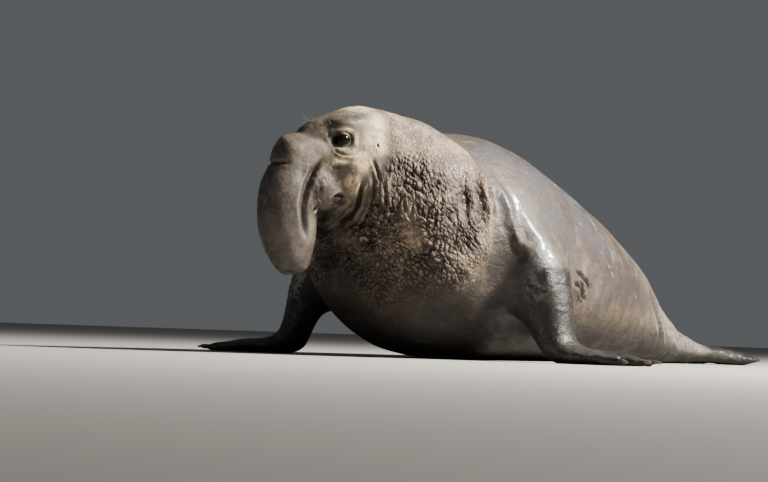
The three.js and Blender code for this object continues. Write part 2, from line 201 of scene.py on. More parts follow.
def through(points: tuple[Point, ...], count: int = 28) -> Array:
    """A smooth line through a few points.

    Args:
        points: The points that it passes.
        count: How many points to return.

    Returns:
        Points along the line.
    """
    knots = np.array(points)
    knots = np.vstack([2 * knots[0] - knots[1], knots, 2 * knots[-1] - knots[-2]])
    at = np.linspace(0, len(points) - 1 - 1e-9, count)
    i = at.astype(int)
    t = (at - i)[:, None]
    a, b, c, d = (knots[i + k] for k in range(4))
    return 0.5 * (2 * b + (c - a) * t + (2 * a - 5 * b + 4 * c - d) * t**2 + (3 * b - a - 3 * c + d) * t**3)


def line_distance(points: Array, line: Array, normal: Array) -> tuple[Array, Array]:
    """How far points are from a line over the skin, and how far along it.

    Args:
        points: The points.
        line: The line's own points.
        normal: The skin's normals at the points.

    Returns:
        The distances, and places along the line from 0 to 1.
    """
    best = np.full(len(points), np.inf)
    along = np.zeros(len(points))
    for i in range(len(line) - 1):
        leg = line[i + 1] - line[i]
        t = np.clip((points - line[i]) @ leg / max(leg @ leg, 1e-12), 0, 1)
        away = points - line[i] - t[:, None] * leg
        height = (away * normal).sum(axis=1)
        level = np.maximum(np.abs(height) - 0.03, 0)
        gap = np.hypot(np.linalg.norm(away - height[:, None] * normal, axis=1), level)
        closer = gap < best
        best = np.where(closer, gap, best)
        along = np.where(closer, (i + t) / (len(line) - 1), along)
    return best, along


@dataclass(frozen=True)
class HeadFrame:
    """The head's own directions, found from the two packed eyes.

    Places in it are forward, left and up from a point between the eyes.
    """

    eye_forward: float = 0.066
    eye_up: float = -0.015

    def middle(self, side: Side) -> Vector:
        """Return the centre of a packed eye."""
        low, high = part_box(f"eye_{side.word}")
        return (low + high) / 2

    @property
    def left(self) -> Vector:
        """Return the direction from the right eye to the left one."""
        return (self.middle(Side.LEFT) - self.middle(Side.RIGHT)).normalized()

    @property
    def turn(self) -> Matrix:
        """Return the directions forward, left and up as a matrix's columns."""
        left = self.left
        up = Vector((0, 0, 1))
        return Matrix((left.cross(up), left, up)).transposed()

    @property
    def origin(self) -> Vector:
        """Return the point that places in the head are measured from."""
        middle = (self.middle(Side.LEFT) + self.middle(Side.RIGHT)) / 2
        return middle - self.turn @ Vector((self.eye_forward, 0, self.eye_up))

    def to_head(self, points: Array) -> Array:
        """Return points of the frame as places in the head."""
        return (points - np.array(self.origin)) @ np.array(self.turn)

    def to_frame(self, places: Array) -> Array:
        """Return places in the head as points of the frame."""
        return np.asarray(places) @ np.array(self.turn).T + np.array(self.origin)


# Making meshes


def add_object(name: str, mesh: bpy.types.Mesh) -> bpy.types.Object:
    """Put a mesh in the scene as an object.

    Args:
        name: The object's name.
        mesh: Its mesh.

    Returns:
        The object, at the origin.
    """
    item = bpy.data.objects.new(name, mesh)
    bpy.context.scene.collection.objects.link(item)
    return item


def shade_smooth(mesh: bpy.types.Mesh) -> None:
    """Shade all of a mesh's faces smooth."""
    mesh.polygons.foreach_set("use_smooth", [True] * len(mesh.polygons))


def from_bmesh(name: str, shape: bmesh.types.BMesh) -> bpy.types.Object:
    """Turn a finished bmesh into a smooth object, and free the bmesh.

    Args:
        name: The object's name.
        shape: The bmesh.

    Returns:
        The object.
    """
    mesh = bpy.data.meshes.new(name)
    shape.to_mesh(mesh)
    shape.free()
    shade_smooth(mesh)
    return add_object(name, mesh)


def settle(item: bpy.types.Object) -> None:
    """Apply all of an object's modifiers to its mesh.

    Args:
        item: The object.
    """
    graph = bpy.context.evaluated_depsgraph_get()
    made = bpy.data.meshes.new_from_object(item.evaluated_get(graph))
    item.modifiers.clear()
    old = item.data
    item.data = made
    bpy.data.meshes.remove(old)


def adopt(item: bpy.types.Object, nodes: tuple[str, ...] = ()) -> None:
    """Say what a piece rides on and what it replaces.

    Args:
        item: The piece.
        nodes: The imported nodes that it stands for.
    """
    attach(item, "root")
    if nodes:
        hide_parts(*nodes)
    log.info("%s: %d faces", item.name, len(item.data.polygons))


# Shader maths


class Paint:
    """A value or colour in a material. Arithmetic on a value adds Math nodes."""

    def __init__(self, shader: "Shader", socket: bpy.types.NodeSocket) -> None:
        """Keep the socket and the shader that it belongs to."""
        self.shader = shader
        self.socket = socket

    def _math(self, operation: str, *values: Any, clamp: bool = False) -> "Paint":
        """Return the result of a Math node."""
        settings = {"operation": operation, "use_clamp": clamp}
        return self.shader.node("ShaderNodeMath", settings, dict(enumerate(values)))

    def __add__(self, other: Any) -> "Paint":
        """Return the sum."""
        return self._math("ADD", self, other)

    __radd__ = __add__

    def __mul__(self, other: Any) -> "Paint":
        """Return the product."""
        return self._math("MULTIPLY", self, other)

    __rmul__ = __mul__

    def __sub__(self, other: Any) -> "Paint":
        """Return the difference."""
        return self._math("SUBTRACT", self, other)

    def __rsub__(self, other: Any) -> "Paint":
        """Return the reflected difference."""
        return self._math("SUBTRACT", other, self)

    def __truediv__(self, other: Any) -> "Paint":
        """Return the quotient."""
        return self._math("DIVIDE", self, other)

    def most(self, other: Any) -> "Paint":
        """Return the larger of two values."""
        return self._math("MAXIMUM", self, other)

    def held(self) -> "Paint":
        """Return the value kept from 0 to 1."""
        return self._math("ADD", self, 0.0, clamp=True)

    def eased(self, low: float, high: float, start: float = 0.0, end: float = 1.0) -> "Paint":
        """Return the value eased from start at low to end at high."""
        settings = {"interpolation_type": "SMOOTHSTEP"}
        ends = {"From Min": low, "From Max": high, "To Min": start, "To Max": end}
        return self.shader.node("ShaderNodeMapRange", settings, {"Value": self, **ends}, "Result")


class Shader:
    """A material and the nodes in it."""

    def __init__(self, name: str) -> None:
        """Start a material with one Principled shader."""
        self.material = bpy.data.materials.new(name)
        self.material.use_nodes = True
        self.tree = self.material.node_tree
        self.surface = self.tree.nodes["Principled BSDF"]

    def node(
        self,
        kind: str,
        settings: dict[str, Any] | None = None,
        inputs: dict[Any, Any] | None = None,
        output: Any = 0,
    ) -> Paint:
        """Add a node.

        Args:
            kind: The node's type.
            settings: Its own settings, set before its sockets.
            inputs: Values or links for its sockets, by name or number.
            output: Which output to return.

        Returns:
            The output.
        """
        made = self.tree.nodes.new(kind)
        for key, value in (settings or {}).items():
            setattr(made, key, value)
        for key, value in (inputs or {}).items():
            if isinstance(value, Paint):
                self.tree.links.new(value.socket, made.inputs[key])
            elif isinstance(value, tuple) and made.inputs[key].type == "RGBA":
                made.inputs[key].default_value = (*value, 1.0)
            else:
                made.inputs[key].default_value = value
        return Paint(self, made.outputs[output])

    def place(self) -> Paint:
        """Return the place on the object."""
        return self.node("ShaderNodeTexCoord", output="Object")

    def vector(self, operation: str, *values: Any, output: Any = 0) -> Paint:
        """Return the result of a Vector Math node."""
        return self.node("ShaderNodeVectorMath", {"operation": operation}, dict(enumerate(values)), output)

    def scaled(self, vector: Any, amount: Any) -> Paint:
        """Return a vector times a value."""
        return self.node("ShaderNodeVectorMath", {"operation": "SCALE"}, {0: vector, "Scale": amount})

    def grey(self, value: Paint) -> Paint:
        """Return a value as a grey colour."""
        return self.node("ShaderNodeCombineColor", {}, {0: value, 1: value, 2: value})

    def moved(self, vector: Paint, scale: Point = (1, 1, 1), turn: Point = (0, 0, 0)) -> Paint:
        """Return places turned and scaled."""
        return self.node("ShaderNodeMapping", {}, {"Vector": vector, "Scale": scale, "Rotation": turn})

    def shifted(self, vector: Paint, push: Paint, amount: float) -> Paint:
        """Return places pushed about by a colour."""
        far = self.scaled(self.vector("SUBTRACT", push, (0.5, 0.5, 0.5)), amount)
        return self.vector("ADD", vector, far)

    def noise(
        self, vector: Paint, scale: float, detail: float = 3, rough: float = 0.55, colour: bool = False
    ) -> Paint:
        """Return noise, as a value or as a colour."""
        inputs = {"Vector": vector, "Scale": scale, "Detail": detail, "Roughness": rough}
        return self.node("ShaderNodeTexNoise", {}, inputs, "Color" if colour else 0)

    def cracks(self, vector: Paint, scale: float) -> Paint:
        """Return the distance to the edges of scattered cells."""
        settings = {"feature": "DISTANCE_TO_EDGE"}
        return self.node("ShaderNodeTexVoronoi", settings, {"Vector": vector, "Scale": scale})

    def mask(self, name: str) -> Paint:
        """Return one of the skin's own values."""
        return self.node("ShaderNodeAttribute", {"attribute_name": name}, output="Fac")

    def mix(self, share: Any, first: Any, second: Any, blend: str = "MIX") -> Paint:
        """Return two colours mixed."""
        settings = {"data_type": "RGBA", "blend_type": blend}
        return self.node("ShaderNodeMix", settings, {0: share, 6: first, 7: second}, 2)

    def bump(self, height: Paint, distance: float, strength: float, under: Paint | None = None) -> Paint:
        """Return normals bumped by a height."""
        inputs: dict[str, Any] = {"Height": height, "Distance": distance, "Strength": strength}
        if under:
            inputs["Normal"] = under
        return self.node("ShaderNodeBump", {}, inputs)

    def finish(self, **sockets: Any) -> bpy.types.Material:
        """Set or link the Principled shader's sockets.

        Args:
            sockets: Values or links by socket name, with _ for each space.

        Returns:
            The material.
        """
        for key, value in sockets.items():
            socket = self.surface.inputs[key.replace("_", " ")]
            if isinstance(value, Paint):
                self.tree.links.new(value.socket, socket)
            else:
                socket.default_value = (*value, 1.0) if isinstance(value, tuple) else value
        return self.material


# Finishes


@dataclass(frozen=True)
class Patch:
    """A soft-edged place where the coat has its own colour, alike on both sides."""

    at: Point
    radii: Point


@dataclass(frozen=True)
class Markings:
    """Where the coat changes colour, and where shade and a sheen are painted on it. The face's patches are
    placed in the head, the body's in the frame.
    """

    pale_face: tuple[Patch, ...] = (
        Patch((0.02, 0.18, -0.078), (0.06, 0.06, 0.026)),
        Patch((0.075, 0.15, -0.056), (0.04, 0.04, 0.01)),
        Patch((0.032, 0.168, -0.192), (0.036, 0.06, 0.046)),
        Patch((-0.075, 0.19, -0.01), (0.07, 0.09, 0.08)),
        Patch((-0.13, 0.15, 0.07), (0.09, 0.11, 0.07)),
        Patch((-0.05, 0.05, 0.15), (0.09, 0.12, 0.05)),
        Patch((0.07, 0.145, 0.025), (0.042, 0.05, 0.012)),
        Patch((0.085, 0.14, -0.112), (0.04, 0.04, 0.024)),
        Patch((-0.01, 0.185, -0.12), (0.05, 0.06, 0.05)),
        Patch((0.01, 0.165, -0.235), (0.035, 0.05, 0.035)),
        Patch((0.018, 0.165, -0.015), (0.012, 0.04, 0.034)),
    )
    # Dark mottles of the brow, cheeks and whisker pads, which the coat has, and painted shade on the front
    # of the bulb and the hanging nose.
    face_mottle_and_nose_shade: tuple[Patch, ...] = (
        Patch((0.13, 0.095, 0.055), (0.1, 0.07, 0.04)),
        Patch((0.02, 0.14, 0.08), (0.085, 0.06, 0.026)),
        Patch((0.2, 0.03, 0.045), (0.08, 0.1, 0.04)),
        Patch((-0.045, 0.19, -0.15), (0.028, 0.06, 0.05)),
        Patch((0.11, 0.125, -0.15), (0.05, 0.06, 0.034)),
        Patch((0.15, 0.118, -0.235), (0.07, 0.07, 0.08)),
        Patch((0.34, 0.03, -0.075), (0.07, 0.085, 0.05)),
        Patch((0.235, 0.11, -0.3), (0.03, 0.06, 0.12)),
        Patch((0.4, 0.01, -0.27), (0.085, 0.085, 0.23)),
        Patch((0.35, 0.01, -0.54), (0.11, 0.095, 0.15)),
        Patch((0.11, 0.135, -0.205), (0.045, 0.05, 0.045)),
    )
    # Painted shade round each eye, darkest at its front corner, where the skin is also dark and wet.
    eye_corner_shade: tuple[Patch, ...] = (
        Patch((0.122, 0.118, -0.004), (0.032, 0.06, 0.026)),
        Patch((0.096, 0.138, 0.01), (0.04, 0.06, 0.024)),
        Patch((0.084, 0.145, -0.014), (0.062, 0.08, 0.046)),
    )
    pink_mouth: tuple[Patch, ...] = (
        Patch((0.058, 0.13, -0.282), (0.034, 0.05, 0.026)),
        Patch((0.034, 0.16, -0.24), (0.024, 0.05, 0.026)),
    )
    # Painted shade in the open mouth and under the upper lip.
    mouth_shade: tuple[Patch, ...] = (
        Patch((0.13, 0.085, -0.35), (0.1, 0.09, 0.046)),
        Patch((0.078, 0.124, -0.29), (0.044, 0.06, 0.028)),
    )
    # Painted shade under the jaw and down the throat.
    throat_shade: tuple[Patch, ...] = (
        Patch((0.06, 0.05, -0.41), (0.15, 0.15, 0.085)),
        Patch((0.0, 0.0, -0.56), (0.22, 0.23, 0.16)),
    )
    # Wet places on the back, shoulder and flank: glossier, and painted with a bluish sheen.
    wet: tuple[Patch, ...] = (
        Patch((0.47, -0.85, 0.83), (0.15, 0.15, 0.15)),
        Patch((0.42, -0.62, 0.85), (0.18, 0.32, 0.13)),
        Patch((0.36, -0.25, 0.82), (0.25, 0.45, 0.15)),
        Patch((0.49, -1.09, 0.68), (0.06, 0.07, 0.19)),
        Patch((0.64, -1.02, 0.4), (0.08, 0.08, 0.16)),
        Patch((0.56, -0.8, 0.64), (0.1, 0.2, 0.18)),
        Patch((0.33, -1.0, 0.95), (0.12, 0.2, 0.09)),
        Patch((0.5, -0.3, 0.62), (0.12, 0.3, 0.16)),
    )
    # Painted shade before and under the shoulder, low on the chest, under the arm and behind it.
    armpit_and_belly_shade: tuple[Patch, ...] = (
        Patch((0.5, -1.09, 0.42), (0.1, 0.13, 0.23)),
        Patch((0.56, -1.08, 0.25), (0.16, 0.14, 0.16)),
        Patch((0.2, -1.25, 0.15), (0.42, 0.33, 0.23)),
        Patch((0.3, -0.8, 0.08), (0.4, 0.45, 0.17)),
        Patch((0.6, -0.7, 0.18), (0.1, 0.16, 0.16)),
    )
    # Painted shade under the arm and the chest.
    under_arm_shade: tuple[Patch, ...] = (
        Patch((0.37, -0.74, 0.11), (0.17, 0.36, 0.2)),
        Patch((0.33, -0.45, 0.06), (0.2, 0.35, 0.11)),
        Patch((0.15, -1.2, 0.11), (0.45, 0.3, 0.18)),
    )
    dusky: tuple[Patch, ...] = (
        Patch((0.25, -1.35, 0.3), (0.34, 0.25, 0.16)),
        Patch((0.48, 0.2, 0.33), (0.09, 0.55, 0.1)),
        Patch((0.43, -1.13, 0.56), (0.05, 0.08, 0.16)),
    )
    pale_body: tuple[Patch, ...] = (
        Patch((0.38, 1.0, 0.16), (0.16, 0.5, 0.2)),
        Patch((0.2, 0.9, 0.4), (0.2, 0.4, 0.1)),
        Patch((0.68, -0.86, 0.33), (0.06, 0.06, 0.15)),
    )
    stain: tuple[Patch, ...] = (
        Patch((0.5, 0.05, 0.17), (0.16, 0.38, 0.13)),
        Patch((0.44, 0.48, 0.14), (0.14, 0.33, 0.12)),
        Patch((0.52, -0.45, 0.2), (0.16, 0.28, 0.12)),
    )

    scars: tuple[tuple[Point, Point], ...] = (
        ((0.458, -1.187, 0.599), (0.49, -1.091, 0.685)),
        ((0.56, -1.052, 0.457), (0.662, -0.94, 0.504)),
        ((0.45, -0.62, 0.79), (0.54, -0.42, 0.64)),
        ((0.4, -0.3, 0.79), (0.5, -0.12, 0.6)),
        ((0.42, -0.5, 0.83), (0.35, -0.33, 0.86)),
        ((0.54, -0.25, 0.54), (0.53, -0.08, 0.42)),
        ((0.46, 0.15, 0.48), (0.47, 0.3, 0.33)),
        ((0.33, -1.29, 0.42), (0.43, -1.23, 0.34)),
        ((0.25, 0.1, 0.74), (0.33, 0.3, 0.6)),
        ((0.12, -0.7, 1.0), (0.23, -0.56, 0.96)),
    )

    scar_width: tuple[float, float] = (0.0085, 0.003)
    patch_edge: tuple[float, float] = (1.25, 0.35)

    def lines(self, s: Shader, places: Paint) -> Paint:
        """Return how much each place lies on a scar, from 0 to 1."""
        most = None
        for start, end in self.scars:
            leg = Vector(end) - Vector(start)
            away = s.vector("SUBTRACT", places, start)
            along = s.vector("DOT_PRODUCT", away, tuple(leg), output="Value") / leg.length_squared
            foot = s.scaled(tuple(leg), along.held())
            share = s.vector("DISTANCE", away, foot, output="Value").eased(*self.scar_width)
            most = most.most(share) if most else share
        return most

    def spread(self, s: Shader, places: Paint, patches: tuple[Patch, ...]) -> Paint:
        """Return how much each place belongs to any of the patches, from 0 to 1."""
        most = None
        for patch in patches:
            gap = s.vector("DIVIDE", s.vector("SUBTRACT", places, patch.at), patch.radii)
            share = s.vector("LENGTH", gap, output="Value").eased(*self.patch_edge)
            most = most.most(share) if most else share
        return most

    @staticmethod
    def both_sides(s: Shader, places: Paint, axis: int = 0) -> Paint:
        """Return places with the right side laid over the left, along an axis."""
        parts = [s.node("ShaderNodeSeparateXYZ", {}, {0: places}, k) for k in range(3)]
        parts[axis] = s.node("ShaderNodeMath", {"operation": "ABSOLUTE"}, {0: parts[axis]})
        return s.node("ShaderNodeCombineXYZ", {}, dict(enumerate(parts)))

    def in_head(self, s: Shader, place: Paint) -> Paint:
        """Return places in the head."""
        head = HeadFrame()
        turn = head.turn.transposed()
        start = s.vector("SUBTRACT", place, tuple(head.origin))
        return self.both_sides(s, s.moved(start, turn=tuple(turn.to_euler())), 1)


@dataclass(frozen=True)
class HideFinish:
    """The seal's short coat over thick skin: grey brown, with a tan shield, dark flippers and a wet back,
    and with shade and a sheen painted into its colour.
    """

    dark: Colour = (0.038, 0.029, 0.024)
    middle: Colour = (0.074, 0.06, 0.049)
    pale: Colour = (0.165, 0.13, 0.096)
    # Painted sheen: the bluish grey that a wet back reflects.
    painted_sheen: Colour = (0.074, 0.07, 0.078)
    shield_tan: Colour = (0.285, 0.214, 0.152)
    shield_pink: Colour = (0.225, 0.155, 0.118)
    shield_grey: Colour = (0.125, 0.096, 0.074)
    face: Colour = (0.084, 0.066, 0.052)
    face_pale: Colour = (0.48, 0.375, 0.225)
    nose: Colour = (0.086, 0.07, 0.06)
    nose_dark: Colour = (0.036, 0.03, 0.028)
    limb: Colour = (0.013, 0.011, 0.01)
    limb_scarred_and_shaded: Colour = (0.034, 0.028, 0.024)
    stain: Colour = (0.22, 0.138, 0.05)
    pink: Colour = (0.2, 0.098, 0.068)
    # Painted shade, for the creases, the shield's cracks, the eye corners and the mouth.
    painted_shade: Colour = (0.014, 0.01, 0.008)
    rump: Colour = (0.25, 0.225, 0.2)
    # The dark brown of the brow's mottles, also the colour of painted shade under the jaw and the body.
    brow_mottle_and_shade: Colour = (0.024, 0.018, 0.015)
    # Painted shade on the underside.
    deep_shade: Colour = (0.012, 0.01, 0.009)
    scratch: Colour = (0.42, 0.33, 0.23)

    def trunk(self, s: Shader, on_body: partial, broad: Paint, mottle: Paint, spots: Paint) -> Paint:
        """Return the trunk's colour."""
        marks = Markings()
        coat = s.mix(broad.eased(0.36, 0.62), self.dark, self.middle)
        coat = s.mix(mottle.eased(0.5, 0.74) * 0.7, coat, self.pale)
        # Painted sheen on the wet places.
        coat = s.mix(on_body(marks.wet) * 0.75, coat, self.painted_sheen)
        coat = s.mix(on_body(marks.stain) * mottle.eased(0.35, 0.6) * 0.7, coat, self.stain)
        return s.mix(on_body(marks.pale_body) * spots.eased(0.3, 0.6) * 0.75, coat, self.rump)

    def head(self, s: Shader, on_face: partial, mottle: Paint, spots: Paint) -> Paint:
        """Return the head's colour."""
        marks = Markings()
        skin = s.mix(mottle.eased(0.42, 0.68), self.face, self.pale)
        skin = s.mix(s.mask("nose"), skin, s.mix(mottle.eased(0.36, 0.62), self.nose_dark, self.nose))
        skin = s.mix(on_face(marks.pale_face) * spots.eased(0.3, 0.52), skin, self.face_pale)
        return s.mix(on_face(marks.face_mottle_and_nose_shade) * spots.eased(0.36, 0.54) * 0.85, skin, self.brow_mottle_and_shade)

    def colour(self, s: Shader, place: Paint) -> Paint:
        """Return the coat's colour."""
        marks = Markings()
        loose = s.shifted(place, s.noise(place, 3, 2, colour=True), 0.16)
        stirred = s.shifted(place, s.noise(place, 22, 3, 0.65, colour=True), 0.035)
        wandering = s.shifted(place, s.noise(place, 5, 3, colour=True), 0.16)
        on_face = partial(marks.spread, s, marks.in_head(s, stirred))
        on_body = partial(marks.spread, s, marks.both_sides(s, wandering))
        mottle = s.noise(loose, 12, 5, 0.65)
        spots = s.noise(loose, 34, 4, 0.7)
        shield = s.mask("shield")
        hide = s.mix(mottle.eased(0.4, 0.6), self.shield_grey, self.shield_tan)
        hide = s.mix(s.noise(loose, 7, 3).eased(0.48, 0.66) * 0.6, hide, self.shield_pink)
        coat = s.mix(shield, self.trunk(s, on_body, s.noise(loose, 2.4, 4, 0.6), mottle, spots), hide)
        coat = s.mix(s.mask("face") * (1 - shield), coat, self.head(s, on_face, mottle, spots))
        # Painted shade under the jaw and down the throat.
        coat = s.mix(on_face(marks.throat_shade) * 0.75, coat, self.brow_mottle_and_shade)
        coat = s.mix(on_body(marks.dusky) * 0.6, coat, self.dark)
        # Painted shade on the underside, in the armpits and under the chest.
        low = s.mask("underside_shade").most(on_body(marks.armpit_and_belly_shade))
        low = low.most(marks.spread(s, marks.both_sides(s, place), marks.under_arm_shade))
        coat = s.mix(low * 0.93, coat, s.mix(mottle.eased(0.4, 0.7), self.deep_shade, self.brow_mottle_and_shade))
        coat = s.mix(on_face(marks.pink_mouth) * spots.eased(0.3, 0.6) * 0.5, coat, self.pink)
        limb = s.mix(mottle.eased(0.5, 0.75), self.limb, self.limb_scarred_and_shaded)
        coat = s.mix(s.mask("limb").eased(0.1, 0.8), coat, limb)
        return self.scarred_and_shaded(s, place, coat, shield, spots, on_face)

    def scarred_and_shaded(
        self, s: Shader, place: Paint, coat: Paint, shield: Paint, spots: Paint, on_face: partial
    ) -> Paint:
        """Return the coat's colour with hairs and scars in it, and painted shade in its cracks and hollows.

        Args:
            s: The material.
            place: The place on the object.
            coat: The clean colour.
            shield: How much each place belongs to the shield.
            spots: Noise of small spots.
            on_face: What spreads patches over the head.

        Returns:
            The colour.
        """
        marks = Markings()
        hair = s.noise(s.moved(place, (260, 60, 260)), 1, 3, 0.65)
        speck = s.noise(place, 85, 4, 0.7)
        tone = s.grey((hair * 0.6 + speck * 0.5).eased(0.36, 0.74, 0.72, 1.28))
        coat = s.mix(1.0, coat, tone, "MULTIPLY")
        near = marks.both_sides(s, s.shifted(place, s.noise(place, 16, 2, colour=True), 0.03))
        patchy = s.noise(place, 60, 3).eased(0.38, 0.6)
        coat = s.mix(marks.lines(s, near) * patchy * 0.85, coat, self.scratch)
        # Painted shade in the shield's fine cracks.
        cracks = self.cracks(s, place).eased(0.14, 0.02)
        coat = s.mix(cracks * shield * spots.eased(0.35, 0.6, 0.05, 0.65), coat, self.painted_shade)
        # Painted shade round the eyes, in the mouth and in the creases.
        dark = on_face(marks.eye_corner_shade).most(on_face(marks.mouth_shade))
        return s.mix((s.mask("shaded_hollow").eased(0.0, 0.9) * 0.92).most(dark * 0.96), coat, self.painted_shade)

    @staticmethod
    def cracks(s: Shader, place: Paint) -> Paint:
        """Return how far each place is from the shield's fine cracks."""
        loose = s.shifted(place, s.noise(place, 20, 3, colour=True), 0.035)
        return s.cracks(s.moved(loose, (1, 1, 0.62)), 62)

    def relief(self, s: Shader, place: Paint) -> Paint:
        """Return the bumps of hair, pores and fine cracks."""
        loose = s.shifted(place, s.noise(place, 20, 3, colour=True), 0.035)
        face = s.mask("face")
        lumps = s.noise(loose, 55, 4, 0.6)
        lines = s.noise(s.moved(loose, (26, 9, 26)), 1, 4, 0.6)
        hair = s.noise(s.moved(place, (420, 90, 420)), 1, 3, 0.7)
        whorls = s.noise(s.moved(loose, (330, 330, 85), (0.5, 0.0, 0.5)), 1, 3, 0.7)
        normal = s.bump(lines * (1 - face), 0.013, 0.6)
        normal = s.bump(lumps, 0.004, 0.6, normal)
        normal = s.bump(self.cracks(s, place).eased(0.0, 0.2) * s.mask("shield"), 0.0032, 0.6, normal)
        return s.bump(hair * (1 - face) + whorls * face, 0.0018, 0.5, normal)

    def coat(self) -> bpy.types.Material:
        """Build the material of the tufts, which carry the skin's markings and have pale tips."""
        s = Shader("coat")
        tone = s.grey(s.mask("tip").eased(0.0, 1.0, 0.8, 1.5))
        return s.finish(Base_Color=s.mix(1.0, self.colour(s, s.place()), tone, "MULTIPLY"), Roughness=0.6)

    def skin(self) -> bpy.types.Material:
        """Build the skin's material."""
        s = Shader("hide")
        place = s.place()
        marks = Markings()
        plain = partial(marks.spread, s, marks.both_sides(s, place))
        wet = plain(marks.wet)
        limb = s.mask("limb")
        low = s.mask("underside_shade").most(plain(marks.under_arm_shade))
        patchy = s.noise(s.moved(place, (1, 0.45, 1)), 24, 4, 0.65)
        rough = patchy.eased(0.3, 0.7, 0.4, 0.64) + s.mask("shield") * 0.1 - wet * 0.16
        gloss = ((wet * 1.5 + 0.12).held() + limb * 0.18) * patchy.eased(0.44, 0.54)
        return s.finish(
            Base_Color=self.colour(s, place),
            Roughness=rough - limb * 0.04 + low * 0.3 + s.mask("shaded_hollow") * 0.15,
            Coat_Weight=gloss * (1 - low),
            Coat_Roughness=0.15,
            Specular_IOR_Level=0.35,
            Normal=self.relief(s, place),
        )


@dataclass(frozen=True)
class EyeFinish:
    """A wet, nearly black eye."""

    def material(self) -> bpy.types.Material:
        """Build the material."""
        s = Shader("eye")
        return s.finish(Base_Color=(0.005, 0.004, 0.003), Roughness=0.09, Specular_IOR_Level=0.13)


@dataclass(frozen=True)
class ClawFinish:
    """Dark worn keratin."""

    def material(self) -> bpy.types.Material:
        """Build the material."""
        s = Shader("claw")
        grain = s.noise(s.moved(s.place(), (60, 60, 300)), 1, 3)
        colour = s.mix(grain, (0.03, 0.022, 0.018), (0.09, 0.07, 0.055))
        return s.finish(Base_Color=colour, Roughness=0.38, Normal=s.bump(grain, 0.0004, 0.5))


@dataclass(frozen=True)
class WhiskerFinish:
    """Stiff dark whiskers."""

    dark: Colour = (0.055, 0.04, 0.028)
    pale: Colour = (0.3, 0.24, 0.17)

    def material(self) -> bpy.types.Material:
        """Build the material."""
        s = Shader("whisker")
        colour = s.mix(s.noise(s.place(), 24, 2).eased(0.4, 0.65), self.dark, self.pale)
        return s.finish(Base_Color=colour, Roughness=0.4)


@dataclass(frozen=True)
class FloorFinish:
    """The studio's plain pale floor."""

    colour: Colour = (0.31, 0.3, 0.285)

    def material(self) -> bpy.types.Material:
        """Build the material."""
        return Shader("floor").finish(Base_Color=self.colour, Roughness=0.85)


# The skin

TRUNK_NODES = ("chest", "torso", "loins", "hips")
HEAD_NODES = ("head", "proboscis", "lower_jaw")
LIMBS = ("upper_arm", "forearm", "fore_flipper", "hind_flipper")


class Flesh:
    """The skin's points as arrays, which the sculpting moves."""

    def __init__(self, mesh: bpy.types.Mesh, head: HeadFrame) -> None:
        """Read a mesh.

        Args:
            mesh: The mesh to sculpt.
            head: The head's directions.
        """
        self.mesh = mesh
        self.head = head
        self.co = np.empty((len(mesh.vertices), 3))
        mesh.vertices.foreach_get("co", self.co.reshape(-1))
        # How deep in a crease each point lies, which the finish paints as shade.
        self.shaded_hollow = np.zeros(len(self.co))
        self.refresh()

    def refresh(self) -> None:
        """Write the points back, and read the normals again."""
        self.mesh.vertices.foreach_set("co", self.co.astype(np.float32).reshape(-1))
        self.mesh.update()
        self.normal = np.empty((len(self.co), 3), np.float32)
        self.mesh.vertex_normals.foreach_get("vector", self.normal.reshape(-1))
        self.place = self.head.to_head(self.co)

    def push(self, amount: Array, pick: Array | None = None) -> None:
        """Move points along their normals.

        Args:
            amount: How far, in metres.
            pick: Which points, where not all of them.
        """
        if pick is None:
            pick = np.arange(len(self.co))
        self.co[pick] += self.normal[pick] * amount[:, None]

    def paint_shade(self, amount: Array, pick: Array | slice = slice(None)) -> None:
        """Note how deep in a crease points are, where the finish paints shade."""
        self.shaded_hollow[pick] = np.maximum(self.shaded_hollow[pick], amount)

    def seen(self, in_head: bool) -> tuple[Array, Array]:
        """Return the points in the head or the frame, and what swaps a place's side there."""
        if in_head:
            return self.place, np.array([1, -1, 1])
        return self.co, np.array([-1, 1, 1])

    def keep(self, name: str, values: Array) -> None:
        """Store one value for each point under a name that the finish reads."""
        layer = self.mesh.attributes.new(name, "FLOAT", "POINT")
        layer.data.foreach_set("value", np.clip(values, 0, 1).astype(np.float32))

    def neighbours_mean(self, values: Array, edges: Array) -> Array:
        """Return the mean of each point's neighbours."""
        count = len(values)
        both = np.concatenate([edges[:, 0], edges[:, 1]])
        other = np.concatenate([edges[:, 1], edges[:, 0]])
        degree = np.maximum(np.bincount(both, minlength=count), 1)
        sums = [np.bincount(both, weights=values[other, k], minlength=count) for k in range(3)]
        return np.stack(sums, axis=1) / degree[:, None]

    def smooth(self, weight: Array, rounds: int) -> None:
        """Smooth the facets away and give back the volume that this takes.

        Args:
            weight: How strongly each point is smoothed, from 0 to 1.
            rounds: How many times.
        """
        edges = np.empty((len(self.mesh.edges), 2), np.int32)
        self.mesh.edges.foreach_get("vertices", edges.reshape(-1))

        def eased(values: Array) -> Array:
            """Return values drawn towards their neighbours' mean."""
            for _ in range(rounds):
                values = values + 0.6 * weight[:, None] * (self.neighbours_mean(values, edges) - values)
            return values

        soft = eased(self.co)
        self.co = soft + eased(self.co - soft)
        self.refresh()


